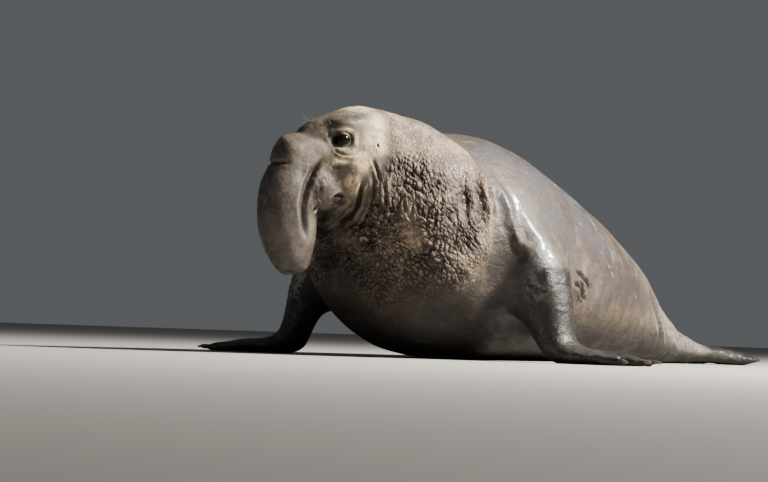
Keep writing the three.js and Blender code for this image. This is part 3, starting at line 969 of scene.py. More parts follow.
@dataclass(frozen=True)
class Fold:
    """A crease along a line on the skin, with a low lip on each side."""

    line: tuple[Point, ...]
    width: float
    depth: float
    lip: float = 0.3
    ends: float = 0.22
    wander: float = 0.006
    across: bool = False
    darkest: float = 0.012

    def press(self, flesh: Flesh, in_head: bool) -> None:
        """Press the crease into the skin.

        Args:
            flesh: The skin's points.
            in_head: Whether the line is given in the head's places.
        """
        line = through(self.line)
        source, flip = flesh.seen(in_head)
        if self.across:
            line = np.vstack([line[:0:-1] * flip, line])
        normal = flesh.normal @ np.array(flesh.head.turn) if in_head else flesh.normal
        reach = 3.4 * self.width + 0.03
        for own in (line,) if self.across else (line, line * flip):
            near = ((source > own.min(0) - reach) & (source < own.max(0) + reach)).all(axis=1)
            pick = np.flatnonzero(near)
            at = source[pick] + self.wander * drift(source[pick], 0.07, 11)
            gap, along = line_distance(at, own, normal[pick])
            gap = gap / (self.width * (1 + 0.25 * waves(source[pick], max(0.03, 3 * self.width), 7)))
            ends = ramp(along, 0, self.ends) * ramp(along, 1, 1 - self.ends)
            groove = ridge(gap, 1) * ends
            lips = ridge(gap - 1.9, 0.85) * ends
            flesh.push(self.depth * (self.lip * lips - groove), pick)
            # Painted shade along the groove, full once the groove is as deep as darkest.
            flesh.paint_shade(groove * min(max(self.depth, 0) / self.darkest, 1), pick)


@dataclass(frozen=True)
class Swelling:
    """A soft raised or sunken place on the skin."""

    at: Point
    radii: Point
    height: float

    def raise_on(self, flesh: Flesh, in_head: bool) -> None:
        """Raise the swelling on the skin.

        Args:
            flesh: The skin's points.
            in_head: Whether its place is given in the head.
        """
        source, flip = flesh.seen(in_head)
        for at in (np.array(self.at), np.array(self.at) * flip):
            far = (((source - at) / np.array(self.radii)) ** 2).sum(axis=1)
            pick = np.flatnonzero(far < 5)
            flesh.push(self.height * np.exp(-1.2 * far[pick]), pick)


@dataclass(frozen=True)
class HeadSculpt:
    """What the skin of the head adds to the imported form. Places are in the head."""

    swellings: tuple[Swelling, ...] = (
        Swelling((0.078, 0.118, 0.066), (0.06, 0.05, 0.028), 0.008),  # brow
        Swelling((0.06, 0.168, -0.135), (0.05, 0.05, 0.028), 0.007),  # ridge under the eye
        Swelling((0.03, 0.16, -0.215), (0.04, 0.045, 0.06), 0.013),  # cheek
        Swelling((0.165, 0.118, -0.24), (0.058, 0.05, 0.07), 0.016),  # whisker pad
        Swelling((0.29, 0.085, -0.33), (0.045, 0.06, 0.2), 0.008),  # side of the hanging nose
        Swelling((-0.01, 0.185, 0.02), (0.05, 0.05, 0.05), -0.005),  # temple
        Swelling((0.262, 0.07, -0.06), (0.06, 0.05, 0.05), 0.006),  # side of the bulb
        Swelling((0.3, 0.0, -0.02), (0.04, 0.05, 0.03), 0.006),  # top of the bulb
        Swelling((0.215, 0.08, -0.47), (0.045, 0.06, 0.05), 0.01),  # inner side of the hanging nose
        Swelling((0.125, 0.09, -0.322), (0.05, 0.05, 0.02), -0.014),  # the open mouth
        Swelling((0.066, 0.128, -0.292), (0.026, 0.03, 0.018), 0.002),  # lower lip
        Swelling((0.03, 0.1, -0.39), (0.06, 0.09, 0.03), -0.012),  # under the jaw
    )
    folds: tuple[Fold, ...] = (
        # behind the bulb
        Fold(((0.238, 0.0, 0.024), (0.226, 0.045, 0.016), (0.196, 0.082, 0.003), (0.152, 0.115, -0.027),
            (0.119, 0.132, -0.066), (0.106, 0.139, -0.11)), 0.02, 0.007, 0.1, across=True),
        # between the bulb and the hanging nose
        Fold(((0.352, 0.0, -0.13), (0.345, 0.035, -0.131), (0.318, 0.066, -0.13),
            (0.292, 0.086, -0.134)), 0.009, 0.01, 0.15, 0.3, 0.004, across=True),
        # nose and whisker pad
        Fold(((0.14, 0.118, -0.08), (0.179, 0.107, -0.126), (0.215, 0.103, -0.182),
            (0.243, 0.112, -0.242), (0.254, 0.118, -0.296), (0.256, 0.12, -0.35), (0.24, 0.116, -0.43),
            (0.205, 0.09, -0.5)), 0.015, 0.017, 0.35, 0.25, 0.008),
        # nostril
        Fold(((0.268, 0.04, -0.618), (0.262, 0.034, -0.64), (0.246, 0.03, -0.65)), 0.01, 0.016, 0.3),
        # between the nostrils
        Fold(((0.292, 0.0, -0.56), (0.285, 0.0, -0.62), (0.25, 0.0, -0.655), (0.21, 0.0, -0.64)), 0.008,
            0.006, 0.2),
        # lips
        Fold(((0.205, 0.09, -0.352), (0.165, 0.098, -0.325), (0.125, 0.11, -0.296),
            (0.092, 0.127, -0.268), (0.066, 0.134, -0.266), (0.05, 0.134, -0.284)), 0.008, 0.015, 0.2,
            0.2, 0.004),
        Fold(((0.15, 0.08, -0.352), (0.105, 0.105, -0.33), (0.062, 0.13, -0.3), (0.05, 0.138, -0.27)),
            0.008, 0.008, 0.2, 0.3, 0.005),
        # behind the jowl
        Fold(((-0.012, 0.178, -0.18), (-0.007, 0.173, -0.23), (-0.003, 0.153, -0.297),
            (0.014, 0.132, -0.342), (0.036, 0.094, -0.381), (0.053, 0.024, -0.409)), 0.01, 0.018, 0.4),
        Fold(((-0.046, 0.207, -0.148), (-0.053, 0.211, -0.251), (-0.039, 0.187, -0.34),
            (-0.019, 0.135, -0.407), (0.003, 0.028, -0.461)), 0.009, 0.012, 0.4),
        Fold(((-0.091, 0.23, -0.169), (-0.095, 0.247, -0.281), (-0.085, 0.226, -0.379),
            (-0.069, 0.159, -0.459)), 0.008, 0.01, 0.4),
        Fold(((-0.042, 0.199, -0.089), (-0.062, 0.213, -0.148), (-0.081, 0.23, -0.214)), 0.007, 0.006),
        # under the eye
        Fold(((0.125, 0.124, -0.034), (0.1, 0.141, -0.07), (0.062, 0.16, -0.084),
            (0.028, 0.172, -0.074), (0.012, 0.175, -0.046)), 0.006, 0.0038, 0.4, 0.3, 0.005),
        Fold(((0.118, 0.125, -0.085), (0.08, 0.15, -0.108), (0.04, 0.17, -0.104)), 0.007, 0.002, 0.3,
            0.3, 0.006),
        # over the eye
        Fold(((0.128, 0.112, 0.026), (0.095, 0.135, 0.044), (0.06, 0.152, 0.046),
            (0.022, 0.164, 0.026)), 0.008, 0.0022, 0.3, 0.3, 0.006),
        Fold(((0.108, 0.136, -0.01), (0.124, 0.122, -0.004), (0.142, 0.112, 0.004)), 0.01, 0.01, 0.3,
            0.15, 0.002),
    )
    cheek_pit: Swelling = Swelling((0.036, 0.16, -0.196), (0.007, 0.03, 0.012), -0.014)
    pad: Point = (0.165, 0.118, -0.235)
    pad_size: Point = (0.075, 0.07, 0.085)
    wrinkle: float = 0.0036

    def wrinkles(self, flesh: Flesh) -> None:
        """Wrinkle the whisker pads and the throat with short upright creases.

        Args:
            flesh: The skin's points.
        """
        mirrored = flesh.place * (1, 0, 1) + np.abs(flesh.place) * (0, 1, 0)
        far = (((mirrored - np.array(self.pad)) / np.array(self.pad_size)) ** 2).sum(axis=1)
        pad = np.exp(-1.3 * far)
        f, left, up = flesh.place.T
        throat = 0.7 * ramp(f, 0.1, 0.04) * ramp(f, -0.22, -0.1) * ramp(up, -0.26, -0.33)
        share = np.maximum(pad, throat)
        pick = np.flatnonzero(share > 0.03)
        at = flesh.place[pick]
        at = at + 0.01 * drift(at, 0.05, 111)
        lines = ridge(waves(at * (1, 1, 0.36), 0.0125, 119), 0.22)
        lines *= np.clip(0.7 + ripples(at, 0.04, 121, 2), 0.1, 1.4)
        flesh.push(self.wrinkle * share[pick] * (0.4 - lines), pick)
        # Painted shade in the wrinkles of the whisker pads and the throat.
        flesh.paint_shade(0.75 * share[pick] * lines, pick)

    def shape(self, flesh: Flesh) -> None:
        """Shape the head.

        Args:
            flesh: The skin's points.
        """
        for swelling in self.swellings:
            swelling.raise_on(flesh, True)
        flesh.refresh()
        for fold in self.folds:
            fold.press(flesh, True)
        self.cheek_pit.raise_on(flesh, True)
        flesh.refresh()
        self.wrinkles(flesh)
        flesh.refresh()


@dataclass(frozen=True)
class LidSculpt:
    """The lids round each eye, which close on the eyeball."""

    facing: Point = (0.41, 0.91, 0.03)
    opening: tuple[float, float, float] = (0.0315, 0.0215, 0.0255)
    proud: float = 0.0042
    reach: float = 1.95

    def shape(self, flesh: Flesh) -> None:
        """Shape both pairs of lids.

        Args:
            flesh: The skin's points.
        """
        for side in Side:
            low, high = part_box(f"eye_{side.word}")
            radius = (high.z - low.z) / 2
            centre = flesh.head.to_head(np.array((low + high) / 2)[None])[0]
            out = np.array(self.facing) * (1, side.value, 1)
            out /= np.linalg.norm(out)
            fore = np.cross((0, 0, side.value), out) * -1
            fore /= np.linalg.norm(fore)
            up = np.cross(out, fore) * side.value
            up *= np.sign(up[2])
            gap = flesh.place - centre
            x, y, s = gap @ fore, gap @ up, gap @ out
            tear = 0.01 * ramp(x, 0.018, 0.038)
            tall = self.opening[1] + (self.opening[2] - self.opening[1]) * ramp(y, 0.006, -0.006)
            ring = np.hypot((x - tear * 0.6) / (self.opening[0] + tear), y / tall)
            pick = np.flatnonzero((ring < self.reach) & (s > -0.02))
            x, y, s, ring = x[pick], y[pick], s[pick], ring[pick]
            ball = np.sqrt(np.maximum(radius**2 - x**2 - y**2, (0.35 * radius) ** 2))
            lid = ball + self.proud * ramp(ring, 0.97, 1.1) - 0.01 * ramp(ring, 1.0, 0.82)
            lid += 0.004 * ramp(ring, 1.05, 1.5)
            target = lid + (s - lid) * ramp(ring, 1.18, self.reach)
            crease = ridge(ring - 1.45, 0.13) * (0.6 + 0.6 * waves(flesh.place[pick], 0.03, 161))
            target -= 0.0026 * crease * ramp(y, -0.03, 0.02)
            move = np.outer(target - s, out)
            flesh.co[pick] += move @ np.array(flesh.head.turn).T
            # Painted shade along the edges where the lids meet the eyeball.
            flesh.paint_shade(ridge(ring - 1.0, 0.1), pick)
        flesh.refresh()


@dataclass(frozen=True)
class EarSculpt:
    """The small ear holes, each in a low ring."""

    at: Point = (-0.074, 0.19, -0.034)
    hole: tuple[float, float] = (0.005, 0.01)

    def shape(self, flesh: Flesh) -> None:
        """Shape both ears.

        Args:
            flesh: The skin's points.
        """
        for side in Side:
            gap = flesh.place - np.array(self.at) * (1, side.value, 1)
            ring = np.hypot(gap[:, 0] / self.hole[0], gap[:, 2] / self.hole[1])
            pick = np.flatnonzero((ring < 5) & (np.abs(gap[:, 1]) < 0.06))
            ring = ring[pick]
            pit = ramp(ring, 1.3, 0.3)
            flesh.push(0.002 * ridge(ring - 2.1, 0.9) - 0.01 * pit, pick)
            # Painted shade in each ear hole.
            flesh.paint_shade(pit, pick)
        flesh.refresh()


@dataclass(frozen=True)
class ShieldSculpt:
    """The thick scarred hide of the neck and chest, cobbled and folded."""

    axis: tuple[float, float] = (-0.03, 0.62)
    rim_back: float = -1.12
    rim_drop: float = 0.1
    raised: float = 0.03
    slant: Point = (0.58, 0.34, -0.74)
    cobble: Point = (0.03, 0.016, 0.02)
    upright: Point = (0.016, 0.016, 0.058)
    coarse: Point = (0.075, 0.036, 0.046)
    depth: float = 0.0072
    folds: tuple[Fold, ...] = (
        Fold(((0.289, -1.254, 0.901), (0.338, -1.278, 0.786), (0.371, -1.285, 0.696),
            (0.398, -1.282, 0.607), (0.413, -1.269, 0.541)), 0.022, 0.012, 0.3, 0.45, 0.014),
        Fold(((0.306, -1.119, 0.919), (0.372, -1.194, 0.814), (0.415, -1.227, 0.7),
            (0.432, -1.233, 0.61), (0.439, -1.223, 0.543)), 0.024, 0.014, 0.3, 0.45, 0.014),
        Fold(((0.4, -1.142, 0.817), (0.437, -1.174, 0.725), (0.461, -1.175, 0.626)), 0.012, 0.012, 0.5,
            0.3, 0.012),
        Fold(((0.26, -1.33, 0.86), (0.29, -1.37, 0.74), (0.3, -1.39, 0.64)), 0.01, 0.009, 0.5, 0.3,
            0.016),
    )

    def inside(self, flesh: Flesh) -> Array:
        """Return how far each point is inside the shield's rim, in metres."""
        x, y, z = flesh.co.T
        turn = np.degrees(np.arctan2(np.abs(x - self.axis[0]), z - self.axis[1]))
        rim = self.rim_back - 0.05 * ramp(turn, 60, 100) - self.rim_drop * ramp(turn, 118, 152)
        rim = rim + 0.035 * ramp(turn, 60, 20) + 0.02 * waves(flesh.co, 0.18, 31)
        return rim - y

    def mask(self, flesh: Flesh) -> Array:
        """Return how much each point belongs to the shield, from 0 to 1."""
        f, left, up = flesh.place.T
        behind_face = ramp(f + 0.1 * ramp(up, -0.3, -0.05), 0.0, -0.07) * ramp(np.abs(left), 0.02, 0.1)
        under = ramp(up, -0.34, -0.42)
        on_nose = ramp(f, 0.08, 0.13)
        width = 0.036 + 0.13 * ramp(flesh.co[:, 2], 0.52, 0.36)
        return ramp(self.inside(flesh), 0.0, width) * np.maximum(behind_face, under) * (1 - on_nose)

    def slanted(self, points: Array) -> Array:
        """Return points along, across and through the slant of the cobbles, alike on both sides."""
        along = np.array(self.slant) / np.linalg.norm(self.slant)
        across = np.cross(along, (0.5, -0.866, 0))
        across /= np.linalg.norm(across)
        own = points * 1.0
        own[:, 0] = np.abs(own[:, 0])
        return np.stack([own @ along, own @ across, own @ np.cross(along, across)], axis=1)

    def shape(self, flesh: Flesh) -> None:
        """Shape the shield.

        Args:
            flesh: The skin's points.
        """
        mask = self.mask(flesh)
        side = ramp(np.abs(flesh.co[:, 0]), 0.14, 0.32)
        rise = ramp(self.inside(flesh), 0.0, 0.036 + 0.11 * (1 - side)) * mask * (0.4 + 0.6 * side)
        flesh.push(self.raised * rise)
        flesh.refresh()
        for fold in self.folds:
            fold.press(flesh, False)
        flesh.refresh()
        pick = np.flatnonzero(mask > 0.01)
        co = flesh.co[pick]
        warp = drift(co, 0.12, 41, 3)
        edge, own = cobbles((self.slanted(co) + 0.03 * warp) / np.array(self.cobble), 5)
        upright, _ = cobbles((co + 0.03 * warp) / np.array(self.upright), 15)
        z = co[:, 2]
        near_rim = ramp(self.inside(flesh)[pick], 0.2, 0.03)
        high = ramp(z + 0.12 * ripples(co, 0.2, 55, 2), 0.62, 0.76)
        big, _ = cobbles((self.slanted(co) + 0.05 * warp) / np.array(self.coarse), 25)
        edge = edge * (1 - high) + upright * high
        strength = mask[pick] * (1 - 0.6 * near_rim) * (1 - 0.85 * ramp(z, 0.78, 0.96))
        strength *= np.clip(0.85 + 0.9 * ripples(co, 0.11, 61, 2), 0.15, 1.5)
        pillow = 1 - np.exp(-((edge / 0.24) ** 1.3))
        valley = np.exp(-((big / 0.16) ** 1.5))
        flesh.push(self.depth * strength * (pillow - 0.8 + 0.35 * own - 0.9 * valley), pick)
        # Painted shade in the cracks between the cobbles and in the broad valleys.
        flesh.paint_shade(strength * np.maximum(1.2 * (1 - pillow), 0.8 * valley), pick)
        flesh.refresh()


@dataclass(frozen=True)
class HandSculpt:
    """The digits and wrinkled skin of the flippers, placed from the left hand's wrist."""

    wrist: Point = (0.795, -0.928, 0.0)
    spreads: tuple[float, ...] = (-16, -4.5, 6.5, 18.5)
    groove: tuple[tuple[float, float], ...] = ((0.1, 0.085), (0.22, 0.06), (0.32, 0.045), (0.4, 0.03))
    wrinkle: float = 0.0022

    def shape(self, flesh: Flesh) -> None:
        """Press the grooves between the digits and wrinkle the wrists and flippers.

        Args:
            flesh: The skin's points.
        """
        for angle in self.spreads:
            turn = math.radians(angle)
            out, back = self.wrist[0], self.wrist[1]
            ways = tuple(
                (out + reach * math.cos(turn), back + reach * math.sin(turn), height)
                for reach, height in self.groove
            )
            Fold(ways, 0.011, 0.007, 0.4, 0.3, 0.004).press(flesh, False)
        flesh.refresh()
        x, y, z = flesh.co.T
        arm = ramp(np.abs(x), 0.66, 0.8) * ramp(y, -0.45, -0.6) * ramp(z, 0.62, 0.4)
        limb = np.maximum(arm, ramp(y, 1.3, 1.45))
        pick = np.flatnonzero(limb > 0.02)
        at = flesh.co[pick]
        at = at + 0.012 * drift(at, 0.06, 141)
        ringed = ridge(waves(at * (0.35, 0.35, 1), 0.02, 149), 0.2) * ramp(z[pick], 0.06, 0.12)
        netted = 0.6 * ridge(waves(at, 0.016, 151), 0.2)
        lines = np.maximum(ringed, netted) * np.clip(0.6 + ripples(at, 0.06, 153, 2), 0.1, 1.3)
        flesh.push(self.wrinkle * limb[pick] * (0.3 - lines), pick)
        # Painted shade in the flippers' wrinkles.
        flesh.paint_shade(0.4 * limb[pick] * lines, pick)
        flesh.refresh()


@dataclass(frozen=True)
class BodySculpt:
    """The folds and swells of the trunk, arms and rump."""

    shoulder: tuple[Fold, ...] = (
        Fold(((0.33, -1.075, 0.88), (0.452, -1.085, 0.722), (0.515, -1.06, 0.56), (0.575, -1.015, 0.49),
            (0.645, -1.0, 0.35), (0.705, -1.0, 0.2)), 0.024, -0.014, 0.2),
        Fold(((0.3, -1.06, 0.905), (0.425, -1.07, 0.76), (0.48, -1.03, 0.6), (0.53, -0.985, 0.5)),
            0.022, 0.007, 0.2),
    )
    wound: tuple[Fold, ...] = (
        Fold(((0.598, -0.59, 0.45), (0.58, -0.524, 0.405), (0.571, -0.45, 0.372),
            (0.56, -0.392, 0.331)), 0.009, 0.011, 0.5, 0.3, 0.014),
        Fold(((0.6, -0.6, 0.4), (0.575, -0.52, 0.35), (0.56, -0.44, 0.31), (0.548, -0.4, 0.282)), 0.008,
            0.009, 0.5, 0.3, 0.014),
        Fold(((0.6, -0.56, 0.42), (0.57, -0.48, 0.33), (0.56, -0.45, 0.27)), 0.007, 0.008, 0.5, 0.3,
            0.014),
        Fold(((0.58, -0.47, 0.42), (0.56, -0.41, 0.37), (0.55, -0.36, 0.34)), 0.006, 0.006, 0.5, 0.3,
            0.012),
    )
    rump: tuple[Fold, ...] = (
        Fold(((0.3, 0.56, 0.48), (0.407, 0.623, 0.321), (0.393, 0.756, 0.197), (0.34, 0.816, 0.069)),
            0.022, 0.008),
        Fold(((0.24, 0.9, 0.33), (0.31, 0.98, 0.2), (0.296, 1.1, 0.09)), 0.018, 0.007),
        Fold(((0.35, 0.35, 0.5), (0.44, 0.4, 0.34), (0.44, 0.48, 0.18)), 0.02, 0.005),
        Fold(((0.3, 0.76, 0.36), (0.35, 0.83, 0.22), (0.33, 0.92, 0.09)), 0.014, 0.005),
    )
    hollows: tuple[Swelling, ...] = (
        Swelling((0.525, -1.095, 0.43), (0.09, 0.07, 0.17), -0.034),  # before the shoulder
        Swelling((0.56, -0.76, 0.3), (0.08, 0.09, 0.14), -0.018),  # behind the arm
        Swelling((0.575, -0.48, 0.36), (0.05, 0.09, 0.07), 0.012),  # round the old wound
    )
    swell: float = 0.007
    crease: float = 0.004

    def shape(self, flesh: Flesh) -> None:
        """Shape the body.

        Args:
            flesh: The skin's points.
        """
        for shaded_hollow in self.hollows:
            shaded_hollow.raise_on(flesh, False)
        flesh.refresh()
        x, y, z = flesh.co.T
        trunk = ramp(y, -1.15, -0.9) * ramp(y, 1.35, 1.1)
        flesh.push(self.swell * trunk * ripples(flesh.co, 0.34, 81, 2))
        ringed = flesh.co * (0.16, 1, 0.16) + 0.012 * ripples(flesh.co, 0.2, 85, 2)[:, None]
        lines = ridge(waves(ringed, 0.085, 87), 0.1)
        rump = ramp(y, 0.15, 0.7) * ramp(y, 1.4, 1.2)
        flank = 0.35 * ramp(y, -1.0, -0.7) * ramp(y, 0.4, 0.0) * ramp(z, 0.5, 0.2)
        amount = lines * np.maximum(rump, flank) * (0.5 + 0.5 * ripples(flesh.co, 0.3, 89, 2))
        flesh.push(-self.crease * amount)
        # Painted shade in the creases of the flank and the rump.
        flesh.paint_shade(0.5 * amount)
        flesh.refresh()
        for fold in (*self.shoulder, *self.wound, *self.rump):
            fold.press(flesh, False)
        flesh.refresh()


@dataclass(frozen=True)
class Regions:
    """The skin's broad regions, as one value for each of its points."""

    names: tuple[str, ...] = ("shield", "nose", "face", "limb", "underside_shade")

    def mark(self, flesh: Flesh) -> None:
        """Store the regions on the skin.

        Args:
            flesh: The skin's points.
        """
        x, y, z = flesh.co.T
        f, _, up = flesh.place.T
        ragged = ripples(flesh.co, 0.09, 101, 3)
        nose = ramp(f, 0.16, 0.24) * ramp(up, -0.06, -0.16)
        arm = ramp(np.abs(x) + 0.5 * ramp(z, 0.62, 0.2) - 0.06 * ragged, 0.82, 0.98) * ramp(y, -0.55, -0.72)
        flesh.keep("shield", ShieldSculpt().mask(flesh))
        flesh.keep("nose", nose)
        flesh.keep("face", ramp(f, -0.28, -0.12) * ramp(up, -0.44, -0.34) + nose)
        flesh.keep("limb", np.maximum(arm, ramp(y, 1.3, 1.45)))
        # Painted shade where the low skin faces down.
        flesh.keep("underside_shade", ramp(z, 0.42, 0.12) * ramp(flesh.normal[:, 2], 0.1, -0.4))


@dataclass
class Skin:
    """One skin over all the flesh, so that no seam shows."""

    head: HeadFrame
    grain: float = 0.014
    fine_from: float = -1.02
    overlap: float = 0.0012
    most_triangles: int = 196000
    nodes: tuple[str, ...] = field(init=False)

    def __post_init__(self) -> None:
        """List the nodes of flesh."""
        limbs = tuple(f"{limb}_{side.word}" for limb in LIMBS for side in Side)
        self.nodes = (*HEAD_NODES, "neck", *TRUNK_NODES, "tail", *limbs)

    def digit_ends(self) -> list[tuple[Vector, float]]:
        """Return round ends for the digits, as centres and radii, which hold the roots of the claws."""
        ends = []
        for side in Side:
            low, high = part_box(f"forearm_{side.word}")
            for digit in DIGITS:
                first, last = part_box(f"claw_{side.word}_{digit}")
                middle = (first + last) / 2
                way = (middle - (low + high) / 2) * Vector((1, 1, 0))
                for back, radius in ((0.004, 0.0125), (0.018, 0.015), (0.034, 0.0165)):
                    ends.append((middle - way.normalized() * back - Vector((0, 0, 0.001)), radius))
        return ends

    @staticmethod
    def add_balls(shape: bmesh.types.BMesh, balls: list[tuple[Vector, float]]) -> None:
        """Add small balls to a mesh."""
        for centre, radius in balls:
            place = Matrix.Translation(centre)
            bmesh.ops.create_icosphere(shape, subdivisions=2, radius=radius, matrix=place)

    def joined(self) -> bpy.types.Object:
        """Return all the flesh, with the eyes' room filled, as one closed mesh of even grain."""
        whole = bmesh.new()
        for name in (*self.nodes, "eye_left", "eye_right"):
            part = bmesh.new()
            part.from_mesh(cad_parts[name].data)
            bmesh.ops.remove_doubles(part, verts=part.verts, dist=SAME_POINT)
            part.normal_update()
            for vert in part.verts:
                vert.co += vert.normal * self.overlap
            copy = bpy.data.meshes.new(name)
            part.to_mesh(copy)
            part.free()
            whole.from_mesh(copy)
            bpy.data.meshes.remove(copy)
        self.add_balls(whole, self.digit_ends())
        item = from_bmesh("skin", whole)
        remesh = item.modifiers.new("even", "REMESH")
        remesh.mode = "VOXEL"
        remesh.voxel_size = self.grain
        settle(item)
        return item

    def smoothing(self, flesh: Flesh) -> Array:
        """Return how strongly each point is smoothed: most on the trunk, least on the digits."""
        x, y, z = flesh.co.T
        arm = ramp(np.abs(x), 0.56, 0.7) * ramp(y, -0.3, -0.5)
        hand = ramp(np.abs(x), 0.72, 0.8) * ramp(y, -0.3, -0.5)
        hind = ramp(y, 1.2, 1.35)
        face = ramp(flesh.place[:, 0], -0.2, -0.05) * ramp(flesh.place[:, 2], -0.75, -0.6)
        weight = np.ones(len(x))
        for share, level in ((arm, 0.25), (hand, 0.012), (hind, 0.02), (face, 0.12)):
            weight = weight * (1 - share) + level * share
        return weight

    def seat(self, flesh: Flesh) -> None:
        """Draw the thin digits, which smoothing shrinks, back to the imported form, and round them a little.

        Args:
            flesh: The skin's points.
        """
        x, y, _ = flesh.co.T
        share = np.maximum(ramp(np.abs(x), 0.8, 0.92) * ramp(y, -0.3, -0.5), ramp(y, 1.38, 1.5))
        whole = bmesh.new()
        for name in self.nodes:
            if "flipper" in name:
                whole.from_mesh(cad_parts[name].data)
        bmesh.ops.remove_doubles(whole, verts=whole.verts, dist=SAME_POINT)
        self.add_balls(whole, self.digit_ends())
        tree = BVHTree.FromBMesh(whole)
        whole.free()
        for i in np.flatnonzero(share > 0.01):
            near, outward, _, _ = tree.find_nearest(flesh.co[i])
            flesh.co[i] += share[i] * (np.array(near + outward * self.overlap) - flesh.co[i])
        flesh.refresh()
        flesh.smooth(share, 5)

    def refine(self, item: bpy.types.Object) -> None:
        """Split the faces of the head and the shield once more.

        Args:
            item: The skin.
        """
        shape = bmesh.new()
        shape.from_mesh(item.data)
        edges = [edge for edge in shape.edges if edge.verts[0].co.y < self.fine_from]
        bmesh.ops.subdivide_edges(shape, edges=edges, cuts=1, use_grid_fill=True)
        shape.to_mesh(item.data)
        shape.free()

    def shaped(self) -> bpy.types.Object:
        """Build the skin's mesh.

        Returns:
            The skin, sculpted and thinned to its triangle budget.
        """
        item = self.joined()
        log.info("even mesh: %d points", len(item.data.vertices))
        flesh = Flesh(item.data, self.head)
        flesh.smooth(self.smoothing(flesh), 90)
        finer = item.modifiers.new("finer", "SUBSURF")
        finer.levels = finer.render_levels = 1
        settle(item)
        self.refine(item)
        log.info("fine mesh: %d points", len(item.data.vertices))
        flesh = Flesh(item.data, self.head)
        self.seat(flesh)
        for sculpt in (BodySculpt(), HandSculpt(), HeadSculpt(), ShieldSculpt(), LidSculpt(), EarSculpt()):
            sculpt.shape(flesh)
            log.info("%s", type(sculpt).__name__)
        flesh.co[:, 2] = np.maximum(flesh.co[:, 2], FLOOR_GAP)
        flesh.refresh()
        # Store the painted crease shade for the finish.
        flesh.keep("shaded_hollow", flesh.shaded_hollow)
        self.thin(item)
        shade_smooth(item.data)
        Regions().mark(Flesh(item.data, self.head))
        return item

    def build(self) -> bpy.types.Object:
        """Build the skin and dress it.

        Returns:
            The skin.
        """
        item = self.shaped()
        item.data.materials.append(HideFinish().skin())
        adopt(item, self.nodes)
        return item

    def thin(self, item: bpy.types.Object) -> None:
        """Bring the skin down to its triangle budget, keeping most where it is folded."""
        faces = sum(len(face.vertices) - 2 for face in item.data.polygons)
        thin = item.modifiers.new("thin", "DECIMATE")
        thin.ratio = min(self.most_triangles / faces, 1)
        thin.use_collapse_triangulate = True
        settle(item)


# Eyes, claws, whiskers and coat


@dataclass
class Eyes:
    """The two large eyes."""

    fine: int = 5

    def build(self) -> None:
        """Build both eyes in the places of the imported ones."""
        material = EyeFinish().material()
        for side in Side:
            low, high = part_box(f"eye_{side.word}")
            radius = (high.z - low.z) / 2
            place = Matrix.Translation((low + high) / 2)
            shape = bmesh.new()
            bmesh.ops.create_icosphere(shape, subdivisions=self.fine, radius=radius, matrix=place)
            item = from_bmesh(f"seal_eye_{side.word}", shape)
            item.data.materials.append(material)
            adopt(item, (f"eye_{side.word}",))


@dataclass
class Claws:
    """The blunt claws of the fore flippers."""

    grain: float = 0.0016
    softening: int = 5

    def build(self) -> None:
        """Build each flipper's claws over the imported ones."""
        material = ClawFinish().material()
        for side in Side:
            names = tuple(f"claw_{side.word}_{digit}" for digit in DIGITS)
            shape = bmesh.new()
            for name in names:
                shape.from_mesh(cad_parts[name].data)
            bmesh.ops.remove_doubles(shape, verts=shape.verts, dist=SAME_POINT)
            item = from_bmesh(f"seal_claws_{side.word}", shape)
            even = item.modifiers.new("even", "REMESH")
            even.mode = "VOXEL"
            even.voxel_size = self.grain
            soft = item.modifiers.new("soft", "SMOOTH")
            soft.iterations = self.softening
            settle(item)
            shade_smooth(item.data)
            item.data.materials.append(material)
            adopt(item, names)


@dataclass(frozen=True)
class WhiskerBed:
    """A patch of rooted whiskers on each side of the head. Places are in the head."""

    corner: Point
    along: Point
    down: Point
    rows: int
    columns: int
    length: float
    lean: Point
    thick: float = 0.0006


